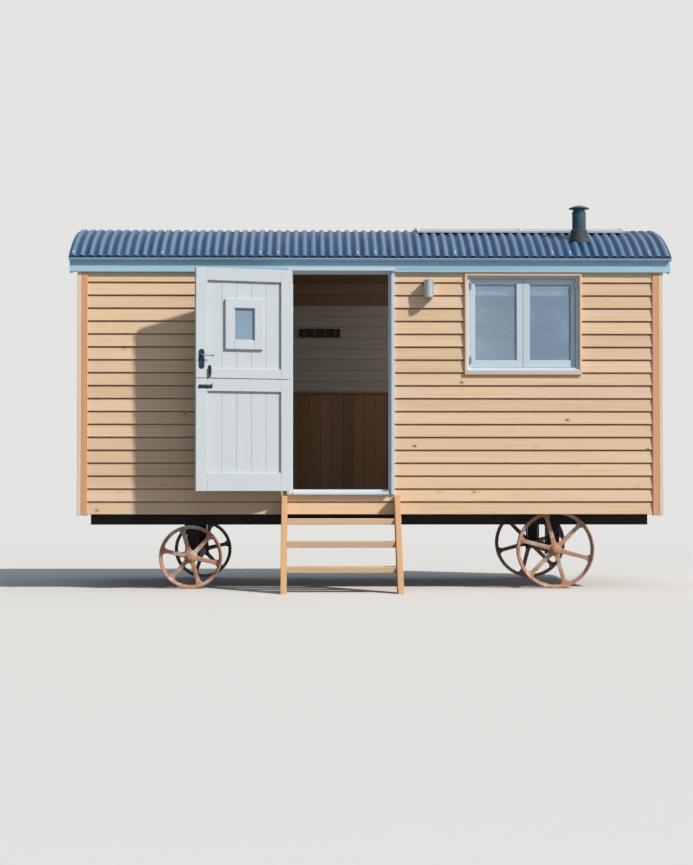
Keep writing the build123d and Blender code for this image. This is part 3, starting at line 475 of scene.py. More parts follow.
def block(bm, x, y, z, eased=0.002, segments=2):
    """A timber or plate that fills three spans, its edges rounded."""
    verts = bmesh.ops.create_cube(bm, size=1.0)["verts"]
    low, high = (Vector(corner) for corner in zip(*(sorted(span) for span in (x, y, z))))
    bmesh.ops.scale(bm, vec=high - low, verts=verts)
    bmesh.ops.translate(bm, vec=(high + low) / 2, verts=verts)
    if eased:
        ease(bm, edges_of(verts), eased, segments)
    return verts


def rod(bm, start, end, radius, sides=12, end_radius=None, eased=0.0):
    """A round or tapered bar from one point to another, its rims rounded where eased says so."""
    start, end = Vector(start), Vector(end)
    turn = (end - start).to_track_quat("Z", "Y").to_matrix().to_4x4()
    verts = bmesh.ops.create_cone(
        bm, cap_ends=True, segments=sides, radius1=radius,
        radius2=radius if end_radius is None else end_radius,
        depth=(end - start).length, matrix=Matrix.Translation((start + end) / 2) @ turn,
    )["verts"]
    if eased:
        along = (end - start).normalized()
        rims = [e for e in edges_of(verts) if abs((e.verts[0].co - e.verts[1].co).dot(along)) < 1e-6]
        ease(bm, rims, eased)


def bent_rod(bm, points, radius, end_radius):
    """A bar bent through points, a little thinner along each length."""
    for start, end in zip(points, points[1:]):
        rod(bm, start, end, radius, 10, end_radius)


def ball(bm, place, radius):
    bmesh.ops.create_uvsphere(
        bm, u_segments=12, v_segments=8, radius=radius, matrix=Matrix.Translation(place))


def screw(bm, place, out, radius, height):
    """A hexagonal screw head on its washer."""
    rod(bm, place, place + out * height * 0.3, radius * 1.6, 10)
    rod(bm, place + out * height * 0.3, place + out * height, radius, 6)


def bolt_head(bm, place, side, radius):
    """A domed bolt head that faces along Y, a few faces only."""
    place, out = Vector(place), Vector((0, side, 0))
    rod(bm, place, place + out * radius * 0.35, radius, 10, radius * 0.94)
    rod(bm, place + out * radius * 0.35, place + out * radius * 0.7, radius * 0.94, 10, radius * 0.45)


def turned(bm, outline, centre, axis, steps):
    """A shape turned on a lathe: an outline of (radius, along) points spun about an axis."""
    centre, axis = Vector(centre), Vector(axis).normalized()
    side = axis.orthogonal().normalized()
    verts = [bm.verts.new(centre + side * radius + axis * along) for radius, along in outline]
    edges = [bm.edges.new(pair) for pair in zip(verts, verts[1:])]
    if outline[0][0] > 0 and outline[-1][0] > 0:
        edges.append(bm.edges.new((verts[-1], verts[0])))
    bmesh.ops.spin(
        bm, geom=verts + edges, cent=centre, axis=axis, angle=2 * pi, steps=steps, use_merge=True,
        use_duplicate=False)
    bmesh.ops.remove_doubles(bm, verts=[v for v in bm.verts if v.is_valid], dist=1e-6)


def on_barrel(radius, turn, x=0.0):
    """A point over the roof's axis, turned from upright towards the back."""
    return Vector((x, MIDDLE + radius * sin(turn), ROOF_AXIS + radius * cos(turn)))


def outward(turn):
    return Vector((0, sin(turn), cos(turn)))


def grid_shell(bm, steps, spot, thickness):
    """A grid laid out by spot(share along, share across), thickened away from the roof's axis."""
    grid = bmesh.ops.create_grid(bm, x_segments=steps[0], y_segments=steps[1], size=0.5)["verts"]
    for vert in grid:
        vert.co = spot(vert.co.x + 0.5, vert.co.y + 0.5)
    faces = list({face for vert in grid for face in vert.link_faces})
    for vert in verts_of(bmesh.ops.extrude_face_region(bm, geom=faces)):
        out = (vert.co - on_barrel(0, 0)) * Vector((0, 1, 1))
        vert.co += out.normalized() * thickness


def barrel_plate(bm, x, y, inner, thickness, steps):
    """A plate bent to the roof's curve, x along the hut and y across it from the middle."""
    turns = [asin(value / (inner + thickness)) for value in y]

    def spot(along, across):
        return on_barrel(inner, turns[0] + across * (turns[1] - turns[0]), x[0] + along * (x[1] - x[0]))

    grid_shell(bm, steps, spot, thickness)


def cut(bm, place, out, **clear):
    """Cut a closed shape with a plane and close the cut."""
    made = bmesh.ops.bisect_plane(
        bm, geom=bm.verts[:] + bm.edges[:] + bm.faces[:], dist=1e-6, plane_co=place, plane_no=out,
        **clear)["geom_cut"]
    bmesh.ops.holes_fill(bm, edges=[item for item in made if isinstance(item, bmesh.types.BMEdge)])


def cut_to_barrel(bm, radius):
    """Cut away what stands above the roof's curve, plane by plane."""
    reach, count = radians(40), 16
    for step in range(count + 1):
        turn = reach * (2 * step / count - 1)
        cut(bm, on_barrel(radius, turn), outward(turn), clear_outer=True)


def finish_piece(name, bm, finishes, replaces=None, smooth=SOFT, body="hut", place=None):
    """Turn a bmesh into a piece that rides on a body and stands for the node it replaces."""
    bmesh.ops.recalc_face_normals(bm, faces=bm.faces[:])
    if place:
        bm.transform(place)
    mesh = bpy.data.meshes.new(name)
    bm.to_mesh(mesh)
    bm.free()
    for finish in finishes if isinstance(finishes, tuple) else [finishes]:
        mesh.materials.append(finish)
    if smooth:
        mesh.shade_smooth()
        mesh.set_sharp_from_angle(angle=radians(smooth))
    piece = bpy.data.objects.new(name, mesh)
    bpy.context.scene.collection.objects.link(piece)
    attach(piece, body)
    if replaces:
        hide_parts(replaces)
    return piece


def softened(name, node, finish, eased=0.0025, tone=0.5, reshape=None):
    """A copy of a CAD node, fitted where it needs it and its edges rounded, standing in its place."""
    bm = new_shape(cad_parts[node].data)
    bmesh.ops.remove_doubles(bm, verts=bm.verts[:], dist=2e-5)
    bmesh.ops.dissolve_limit(bm, angle_limit=radians(1), verts=bm.verts[:], edges=bm.edges[:])
    if reshape:
        reshape(bm)
    ease(bm, sharp_edges(bm.edges, 30), eased)
    give_tone(bm, tone)
    return finish_piece(name, bm, finish, node)


def dress(finish, *nodes):
    """Give CAD nodes that keep their own shape a better finish."""
    for node in nodes:
        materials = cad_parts[node].data.materials
        materials.clear()
        materials.append(finish)


# Operators


class HutOperator:
    """What the operators share: the sizes, the colours and a seeded source of chance."""

    bl_options = {"REGISTER", "UNDO"}

    def execute(self, context):
        self.sizes = context.scene.hut_sizes
        colours = context.scene.hut_colours
        self.colours = {name: tuple(getattr(colours, name)) for name in HutColours.__annotations__}
        self.chance = random.Random(f"{self.sizes.seed}{self.bl_idname}")
        self.build()
        return {"FINISHED"}

    def paint(self, group, axis):
        """The paint of the doors, the frames or the eaves, brushed along an axis."""
        name = f"{group}_paint_{axis.lower()}"
        return bpy.data.materials.get(name) or joinery_paint(name, self.colours[group], axis)

    def iron(self):
        return bpy.data.materials.get("ironwork_paint") or painted_steel(
            "ironwork_paint", self.colours["iron"], 0.42, 0.15, 90)


class HUT_OT_cladding(HutOperator, bpy.types.Operator):
    """Lay the feather-edged boards course by course and stand the corner posts"""

    bl_idname = "hut.cladding"
    bl_label = "Cladding and posts"

    def board(self, bm, x, foot, low, high):
        """One board on the front: thick at its foot, thin under the next."""
        s = self.sizes
        slope = (s.butt - s.tip) / s.course
        back = FRONT + s.butt
        outline = [(back, low)]
        if low == foot:
            outline += [(FRONT + 0.0022, foot), (FRONT + 0.0002, foot + 0.002)]
        else:
            outline.append((FRONT + (low - foot) * slope, low))
        outline += [(FRONT + (high - foot) * slope, high), (back, high)]
        face = bm.faces.new([bm.verts.new((x[0], y, z)) for y, z in outline])
        made = bmesh.ops.extrude_face_region(bm, geom=[face])
        bmesh.ops.translate(bm, vec=(x[1] - x[0], 0, 0), verts=verts_of(made))

    def courses(self, bm, half, top, openings=(), place=None):
        """Lay boards to a height as on the front, leave the openings out and put them in place."""
        before = set(bm.verts)
        course = self.sizes.course
        row = 0
        while SKIRT + row * course < top:
            foot = SKIRT + row * course
            head = min(foot + course, top)
            inside = [z for hole in openings for z in hole[2:] if foot < z < head]
            levels = sorted({foot, head, *inside})
            tones = [self.chance.uniform(0.05, 1.0) for _ in range(len(openings) + 1)]
            for low, high in zip(levels, levels[1:]):
                start = -half
                shut = sorted(h for h in openings if h[2] < (low + high) / 2 < h[3])
                for hole in shut + [(half, None)]:
                    if hole[0] > start:
                        self.board(bm, (start, hole[0]), foot, low, high)
                        side = sum(start > h[0] for h in openings) if len(levels) == 2 else 0
                        give_tone(bm, tones[side])
                    start = hole[1]
            row += 1
        if place:
            bmesh.ops.transform(bm, matrix=place, verts=[v for v in bm.verts if v not in before])

    def build(self):
        boards, course = self.colours["boards"], self.sizes.course
        # the course also places the painted shade under each board's butt
        along, across = (wood(f"board_wood_{axis.lower()}", boards, axis, course=course) for axis in "XY")
        jambs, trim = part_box("door_jambs"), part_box("window_trim")
        door = (jambs[0].x, jambs[1].x, jambs[0].z, EAVE + 1)
        window = (trim[0].x, trim[1].x, trim[0].z, trim[1].z)
        bm = new_shape()
        self.courses(bm, ROOM_X, EAVE, (door, window))
        finish_piece("front_cladding", bm, along, "front_boards", FLAT)
        bm = new_shape()
        turn = Matrix.Translation((0, 2 * MIDDLE, 0)) @ Matrix.Rotation(pi, 4, "Z")
        self.courses(bm, ROOM_X, EAVE, place=turn)
        finish_piece("back_cladding", bm, along, "back_boards", FLAT)
        high, over_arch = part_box("end_walls")[1], 3.1
        bm = new_shape()
        for side in (-1, 1):
            turn = Matrix.Translation((side * END, MIDDLE, 0)) @ Matrix.Rotation(side * pi / 2, 4, "Z")
            turn = turn @ Matrix.Translation((0, -FRONT, 0))
            self.courses(bm, high.y - MIDDLE, over_arch, place=turn)
        cut_to_barrel(bm, high.z - ROOF_AXIS)
        finish_piece("end_cladding", bm, across, "end_boards", FLAT)
        self.posts()
        self.trim()

    def posts(self):
        """Each corner: a square post, a board over its end and a core that joins them."""
        low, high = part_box("corner_posts")
        middle = (low.y + high.y) / 2
        far, out = high.y - middle, high.x
        bm = new_shape()
        for side in (-1, 1):
            for front in (-1, 1):
                for x, y, kind, tone in (
                    ((0.090, 0.0345), (0.030, 0), 0, self.chance.uniform(0.2, 0.8)),
                    ((0.034, 0), (0.090, 0), 1, self.chance.uniform(0.6, 1.0)),
                    ((0.088, 0.036), (0.088, 0.0305), 0, 0.5),
                ):
                    xs = [side * (out - inset) for inset in x]
                    ys = [middle + front * (far - inset) for inset in y]
                    block(bm, xs, ys, (low.z, high.z), 0.003)
                    give_tone(bm, tone, kind)
        finishes = (wood("post_wood", self.colours["posts"], "Z", 0.05, 0.6),
                    wood("corner_board_wood", self.colours["corners"], "Z", 0.05, 0.6))
        finish_piece("corner_timbers", bm, finishes, "corner_posts")

    def trim(self):
        """Four thin boards round the window, standing a little proud of the cladding."""
        low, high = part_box("window_trim")
        front, wide, gap = low.y - 0.007, 0.020, 0.0003
        bm = new_shape()
        for z in ((low.z, low.z + wide), (high.z - wide, EAVE - 0.0005)):
            block(bm, (low.x, high.x), (front, high.y), z)
            give_tone(bm, self.chance.uniform(0.5, 1.0))
        for x in ((low.x, low.x + wide), (high.x - wide, high.x)):
            block(bm, x, (front + 0.0004, high.y), (low.z + wide + gap, high.z - wide - gap))
            give_tone(bm, self.chance.uniform(0.5, 1.0), 1)
        finishes = tuple(wood(f"trim_wood_{axis.lower()}", self.colours["boards"], axis) for axis in "XZ")
        finish_piece("window_surround", bm, finishes, "window_trim")


class HUT_OT_roof(HutOperator, bpy.types.Operator):
    """Bend the corrugated sheets over the barrel, with their screws, panel and boards"""

    bl_idname = "hut.roof"
    bl_label = "Roof"

    def build(self):
        s = self.sizes
        bm = new_shape()
        total = round(2 * ROOF_HALF / s.pitch)
        for first in range(0, total, s.sheet_waves):
            self.sheet(bm, first, min(s.sheet_waves + 1, total - first))
            give_tone(bm, self.chance.uniform(0.1, 1.0))
        coating = roof_coating(self.colours["roof"])
        finish_piece("roof_corrugations", bm, coating, "roof_sheets", 50)
        bm = new_shape()
        for row in (-0.955, -0.33, 0.33, 0.955):
            for wave in (0, 10, 21, 23, 32, 34, 43, 54, 56, 65):
                turn, x = EAVE_TURN * row, (wave + 0.5) * s.pitch - ROOF_HALF
                screw(bm, on_barrel(ROOF_RADIUS - 0.001, turn, x), outward(turn), 0.006, 0.009)
        heads = painted_steel("screw_paint", linear(222, 226, 230), 0.35, 0.1)
        finish_piece("roof_screws", bm, heads, smooth=30)
        self.panel()
        self.flue()
        self.edge_boards()
        self.deck()

    def sheet(self, bm, first, waves):
        """One sheet: waves along the hut, an arc across it, its left edge over the last sheet."""
        pitch, depth, lap = self.sizes.pitch, self.sizes.depth, 0.0013

        def spot(along, across):
            x = (first + along * waves) * pitch - ROOF_HALF
            swing = 2 * pi * (x + ROOF_HALF) / pitch
            wave = 0.5 + 0.5 * (1.07 * cos(swing) - 0.07 * cos(3 * swing))
            radius = ROOF_RADIUS - 0.0014 - depth * wave + lap * (1 - along)
            return on_barrel(radius, EAVE_TURN * (2 * across - 1), min(x, ROOF_HALF))

        grid_shell(bm, (waves * 8, 36), spot, -SHEET)

    def panel(self):
        """A plate of dark cells in a thin pale frame, bent over the crests."""
        low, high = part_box("roof_panel")
        x, y = (low.x, high.x), (low.y - MIDDLE, high.y - MIDDLE)
        bar, lap, middle = 0.022, 0.020, sum(x) / 2
        bm = new_shape()
        face_x, face_y = ((span[0] + lap, span[1] - lap) for span in (x, y))
        barrel_plate(bm, face_x, face_y, ROOF_RADIUS + 0.001, 0.0135, (4, 24))
        finish_piece("roof_panel_face", bm, dark_panel("panel_cells"), "roof_panel", 40)
        bm = new_shape()
        inner = (y[0] + bar + 0.0003, y[1] - bar - 0.0003)
        for bar_x, bar_y, steps in (
            (x, (y[0], y[0] + bar), 2), (x, (y[1] - bar, y[1]), 2), ((x[0], x[0] + bar), inner, 24),
            ((x[1] - bar, x[1]), inner, 24), (about(middle, 0.008), inner, 24),
        ):
            barrel_plate(bm, bar_x, bar_y, ROOF_RADIUS + 0.0005, 0.0175, (2, steps))
        edge = painted_steel("panel_edge", linear(205, 214, 220), 0.35, 0.1)
        finish_piece("roof_panel_frame", bm, edge, smooth=40)

    def flue(self):
        """Pipe, rain cap and the ribbed boot cut to the slope."""
        low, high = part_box("flue")
        x, y = (low.x + high.x) / 2, (low.y + high.y) / 2
        bm = new_shape()
        outline = [
            (0.0, 3.128), (0.0590, 3.128), (0.0600, 3.132), (0.0600, 3.270), (0.0615, 3.272),
            (0.0615, 3.283), (0.0595, 3.286), (0.0520, 3.286), (0.0520, 3.315), (0.0880, 3.312),
            (0.0900, 3.314), (0.0895, 3.318), (0.0600, 3.330), (0.0300, 3.340), (0.0120, 3.343),
            (0.0, 3.3435),
        ]
        turned(bm, outline, (x, y, 0), (0, 0, 1), 40)
        block(bm, (x + 0.0585, x + 0.0608), about(y, 0.003), (3.135, 3.268), 0.0006, 1)
        steel = painted_steel("flue_paint", linear(58, 86, 98), 0.4, 0.25)
        finish_piece("flue_pipe", bm, steel, "flue", 32)
        bm = new_shape()
        outline = [(0.0, 2.97), (0.086, 2.97), (0.0860, 3.045)]
        for rib in range(5):
            radius, level = 0.0800 - 0.0025 * rib, 3.052 + 0.0155 * rib
            outline += [(radius, level), (radius + 0.0022, level + 0.004),
                        (radius + 0.0022, level + 0.009), (radius, level + 0.0125)]
        outline += [(0.0640, 3.1300), (0.0, 3.1300)]
        turned(bm, outline, (x, y, 0), (0, 0, 1), 40)
        turn = asin((y - MIDDLE) / ROOF_RADIUS)
        cut(bm, on_barrel(ROOF_RADIUS - 0.012, turn), outward(turn), clear_inner=True)
        skin = rubber("boot_rubber_skin", linear(60, 66, 70))
        finish_piece("flue_boot_ribs", bm, skin, "flue_boot", 32)

    def edge_boards(self):
        """Eave boards along the hut, and verge boards whose feet are cut plumb behind them."""
        paint = self.paint("eaves", "X")
        softened("eave_boards", "fascias", paint, 0.003, reshape=self.stouter)
        low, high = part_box("bargeboards")
        reach = high.y - MIDDLE - 0.0003
        bm = new_shape()
        for x in ((high.x - VERGE_THICKNESS, high.x), (low.x, low.x + VERGE_THICKNESS)):
            barrel_plate(bm, x, (-reach, reach), VERGE_INNER, VERGE_DEPTH, (1, 40))
        foot = min(vert.co.z for vert in bm.verts)
        for vert in bm.verts:
            if vert.co.z < foot + 0.001:
                vert.co.y = MIDDLE + copysign(reach, vert.co.y - MIDDLE)
                vert.co.z = ROOF_AXIS + (VERGE_INNER**2 - reach**2) ** 0.5
        ease(bm, sharp_edges(bm.edges, 40), 0.003)
        finish_piece("verge_boards", bm, self.paint("eaves", "Y"), "bargeboards")

    def stouter(self, bm):
        """Bring the faces of the eave boards out, under the deck's edge."""
        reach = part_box("fascias")[1].y - MIDDLE
        for vert in bm.verts:
            if abs(vert.co.y - MIDDLE) > reach - 0.001:
                vert.co.y += copysign(0.016, vert.co.y - MIDDLE)
                if vert.co.z > EAVE + 0.05:
                    vert.co.z -= 0.009

    def deck(self):
        """Boards from end to end under the sheets, the outermost ones painted."""
        low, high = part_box("roof_deck")
        reach, count = high.y - MIDDLE, 18
        bm = new_shape()
        for k, (near, far) in enumerate(strips(-reach, reach, count)):
            barrel_plate(bm, (low.x, high.x), (near + 0.001, far - 0.001), DECK_RADIUS, 0.019, (1, 3))
            give_tone(bm, self.chance.uniform(0.1, 1.0), int(k in (0, count - 1)))
        timber = wood("deck_wood", linear(196, 164, 122), "X", 0.12)
        finish_piece("deck_boards", bm, (timber, self.paint("eaves", "X")), "roof_deck", 30)
        dress(timber, "eave_beams")


class HUT_OT_doors(HutOperator, bpy.types.Operator):
    """Hang the two leaves in their painted frame, with their hinges, latch, hook and bolt"""

    bl_idname = "hut.doors"
    bl_label = "Doors"

    def build(self):
        upright, level = self.paint("frames", "Z"), self.paint("frames", "X")
        softened("door_posts", "door_jambs", upright, reshape=self.wider)
        softened("door_lintel", "door_head", level, reshape=self.drip)
        softened("door_sill", "threshold", level)
        self.leaf("upper", (0.082, 0.105), 2.256)
        self.leaf("lower", (0.152, 0.104))
        # the door glass's blue-grey is a painted reflection of the sky
        dress(pane("door_glass", linear(136, 164, 184), 0.78), "upper_door_glass")
        self.upper_ironwork()
        self.lower_ironwork()
        self.pins()

    def wider(self, bm):
        """Let the frame's outer sides lap over the ends of the boards."""
        low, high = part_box("door_jambs")
        for vert in bm.verts:
            if vert.co.x > high.x - 0.001:
                vert.co.x += 0.008
            elif vert.co.x < low.x + 0.001:
                vert.co.x -= 0.008

    def drip(self, bm):
        """Widen the head as the jambs are, and put a drip on it that stands out over the leaves."""
        low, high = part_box("door_head")
        self.wider(bm)
        x, y = (low.x - 0.008, high.x + 0.008), (low.y - 0.015, low.y + 0.002)
        block(bm, x, y, (high.z - 0.01345, high.z + 0.01105), 0)

    def leaf(self, part, rails, light=None):
        """Stiles, rails and five matched boards set back between them, with or without a light."""
        foot, head = (corner.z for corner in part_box(f"{part}_door"))
        near, far, stile, tongue = 0.0035, 0.8565, 0.100, 0.008
        left, right, middle = near + stile, far - stile, (near + far) / 2
        low, high = foot + rails[0], head - rails[1]
        up, out = 0.17, 0.13    # from the light's middle to where the boards stop
        bm = new_shape()
        for u in ((near, left), (right, far)):
            block(bm, u, (LEAF_OUTSIDE, LEAF_INSIDE), (foot, head), 0.0022)
        give_tone(bm, 0.5)
        for z in ((foot, low), (high, head)):
            u = (left + 0.0002, right - 0.0002)
            block(bm, u, (LEAF_OUTSIDE + 0.0004, LEAF_INSIDE - 0.0004), z, 0.0018)
        give_tone(bm, 0.5, 1)
        for k, (a, b) in enumerate(strips(left, right, 5)):
            u = (a - 0.006 * (k == 0), b + 0.006 * (k == 4))
            pieces = [(u, (low - tongue, high + tongue))]
            if light and 0 < k < 4:
                pieces = [(u, (low - tongue, light - up)), (u, (light + up, high + tongue))]
                if k != 2:
                    inner = (a, middle - out) if k == 1 else (middle + out, b)
                    pieces.append((inner, about(light, up)))
            for span, z in pieces:
                block(bm, span, (LEAF_OUTSIDE + 0.0006, LEAF_INSIDE - 0.021), z, 0.0032, 1)
        give_tone(bm, 0.5)
        if light:
            self.light_frame(bm, middle, light)
        finishes = (self.paint("doors", "Z"), self.paint("doors", "X"))
        finish_piece(
            f"{part}_leaf", bm, finishes, f"{part}_door",
            body=f"{part}_door_leaf", place=LEAF)

    def light_frame(self, bm, middle, light):
        """The raised surround of the glazed light, and the beads on both faces of its glass."""
        wide, tall, face = 0.337 / 2, 0.426 / 2, LEAF_INSIDE + 0.003
        hole, deep, bead = 0.180 / 2, 0.277 / 2, 0.008
        for side in (-1, 1):
            u = (middle + side * wide, middle + side * hole)
            block(bm, u, (LEAF_OUTSIDE + 0.0002, face), about(light, tall), 0.0022)
        give_tone(bm, 0.5)
        for side in (-1, 1):
            z = (light + side * tall, light + side * deep)
            block(bm, about(middle, hole + 0.0002), (LEAF_OUTSIDE + 0.0003, face - 0.0003), z)
        for v in ((0.024, 0.032), (0.040, 0.049)):
            for side in (-1, 1):
                u = (middle + side * hole, middle + side * (hole - bead))
                block(bm, u, v, about(light, deep), segments=1)
                z = (light + side * deep, light + side * (deep - bead))
                block(bm, about(middle, hole - bead), v, z, segments=1)
        give_tone(bm, 0.5, 1)

    def strap(self, bm, level):
        """A tapered strap on the leaf's outdoor face, its knuckle round the hinge axis."""
        face, start, tip = LEAF_OUTSIDE, 0.0035, 0.330
        front = face - 0.004
        verts = block(bm, (start, tip), (front, face), about(level, STRAP), 0)
        for vert in verts:
            if vert.co.x > tip - 0.03:
                vert.co.z = level + (vert.co.z - level) * 0.58
        ease(bm, edges_of(verts), 0.0012, 1)
        rod(bm, (tip, front, level), (tip, face, level), 0.0135, 16, eased=0.001)
        rod(bm, (0, 0, level - STRAP), (0, 0, level + STRAP), 0.009, 18, eased=0.0012)
        leaf = (level - STRAP + 0.0005, level + STRAP - 0.0005)
        block(bm, (start, 0.0088), (0.0005, face), leaf, 0.0008, 1)
        for u in (0.045, 0.125, 0.215, 0.300, tip):
            bolt_head(bm, (u, front, level), -1, 0.0062)

    def upper_ironwork(self):
        """Straps outside, and on both faces a latch plate with its spindle, lever and keyhole."""
        bm, steel = new_shape(), new_shape()
        for level in HINGES["upper"]:
            self.strap(bm, level)
        spindle, foot, plate, lever = 0.8085, 1.872, 0.003, 1.985
        for face, side in ((LEAF_INSIDE, 1), (LEAF_OUTSIDE, -1)):
            def at(along, out, level):
                return (spindle + along, face + side * out, level)

            verts = block(
                bm, about(spindle, 0.025), (face, face + side * plate), (foot, foot + 0.167), 0)
            corners = [e for e in edges_of(verts) if abs((e.verts[0].co - e.verts[1].co).y) > 0.002]
            ease(bm, corners, 0.0245, 6)
            for rise in (0.022, 0.145):
                bolt_head(bm, at(0, plate, foot + rise), side, 0.0045)
            rod(bm, at(0, plate, lever), at(0, 0.010, lever), 0.0135, 16, eased=0.002)
            rod(bm, at(0, 0.008, lever), at(0, 0.0385, lever), 0.0078, 14, eased=0.001)
            rod(steel, at(0.004, 0.0385, lever), at(-0.045, 0.0385, lever), 0.0058, 12, 0.0046)
            rod(steel, at(-0.044, 0.0385, lever), at(-0.086, 0.0372, lever - 0.002), 0.0046, 12, 0.0052)
            ball(bm, at(-0.089, 0.0375, lever - 0.002), 0.0080)
            rod(bm, at(0, plate, 1.905), at(0, 0.0036, 1.905), 0.006)
        self.hook(bm)
        paint = painted_steel("lever_steel", linear(118, 128, 140), 0.35, 0.1)
        body = "upper_door_leaf"
        finish_piece("latch_levers", steel, paint, None, 32, body, LEAF)
        finish_piece(
            "upper_leaf_ironwork", bm, self.iron(), "upper_door_ironwork", SOFT_IRON, body, LEAF)

    def hook(self, bm):
        """The cabin hook: an eye, a square bar twisted along its length and a curled tip."""
        u, face, eye = 0.7375, LEAF_INSIDE, 1.888
        rod(bm, (u, face, eye), (u, face + 0.003, eye), 0.0165, 18, eased=0.001)
        rod(bm, (u, face + 0.003, eye), (u, face + 0.0165, eye), 0.0062, eased=0.001)
        steps, top, low, out = 20, 1.882, 1.826, face + 0.0135
        start = Matrix.Translation((u, out, top))
        ring = bmesh.ops.create_circle(bm, segments=4, radius=0.0125, cap_ends=True, matrix=start)["verts"]
        for _ in range(steps):
            faces = [f for f in {f for v in ring for f in v.link_faces} if all(v in ring for v in f.verts)]
            made = bmesh.ops.extrude_face_region(bm, geom=faces)
            bmesh.ops.delete(bm, geom=faces, context="FACES_ONLY")
            ring = verts_of(made)
            bmesh.ops.translate(bm, vec=(0, 0, (low - top) / steps), verts=ring)
            twist = Matrix.Rotation(radians(27), 3, "Z")
            bmesh.ops.rotate(bm, cent=(u, out, 0), matrix=twist, verts=ring)
        for level in (top, low):
            rod(bm, (u, out, level - 0.003), (u, out, level + 0.003), 0.0120, 14, eased=0.001)
        curl = ((0, 1.824), (-0.0035, 1.814), (-0.001, 1.8055),
                (0.006, 1.8040), (0.0115, 1.8085), (0.011, 1.8150))
        bent_rod(bm, [(u + along, face + 0.0105, level) for along, level in curl], 0.0050, 0.0046)

    def lower_ironwork(self):
        """Straps outside, and inside a bolt in two staples on its plate."""
        bm = new_shape()
        for level in HINGES["lower"]:
            self.strap(bm, level)
        near, far, face, z = 0.7145, 0.8335, LEAF_INSIDE, 1.724
        bolt = face + 0.0095
        block(bm, (near, far), (face, face + 0.003), about(z, 0.015), 0.0012)
        rod(bm, (near, bolt, z), (far, bolt, z), 0.0055, 14, eased=0.001)
        for u in (near + 0.040, far - 0.020):
            block(bm, about(u, 0.006), (face + 0.002, face + 0.0148), about(z, 0.0105), 0.0025)
        rod(bm, (near + 0.009, bolt, z), (near + 0.004, face + 0.0115, z + 0.016), 0.0046, 12, 0.0036)
        ball(bm, (near + 0.004, face + 0.0110, z + 0.0175), 0.0062)
        for u, level in ((near + 0.008, z - 0.0095), (far - 0.007, z - 0.0095), (far - 0.007, z + 0.0095)):
            bolt_head(bm, (u, face + 0.003, level), 1, 0.0030)
        finish_piece(
            "lower_leaf_ironwork", bm, self.iron(), "lower_door_ironwork", SOFT_IRON,
            "lower_door_leaf", LEAF)

    def pins(self):
        """The frame's half of each hinge: a plate, a knuckle under the strap's and a pin through both."""
        left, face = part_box("door_hinge_pins")[0].x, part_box("door_jambs")[0].y
        front = face - 0.004
        bm = new_shape()
        x, y = HINGE
        for level in (*HINGES["upper"], *HINGES["lower"]):
            seat = level - STRAP - 0.001
            rod(bm, (x, y, seat - 0.030), (x, y, seat), 0.009, 18, eased=0.0012)
            rod(bm, (x, y, seat - 0.002), (x, y, level + 0.025), 0.0049, 14, eased=0.001)
            block(bm, (left, x - 0.0035), (front, face), about(level, 0.049), 0.001, 1)
            block(bm, (x - 0.0088, x + 0.0002), (y, face), (seat - 0.0295, seat - 0.0005), 0.0008, 1)
            for z in (level - 0.036, level, level + 0.036):
                bolt_head(bm, (left + 0.0095, front, z), -1, 0.0042)
        finish_piece("hinge_pintles", bm, self.iron(), "door_hinge_pins", SOFT_IRON)


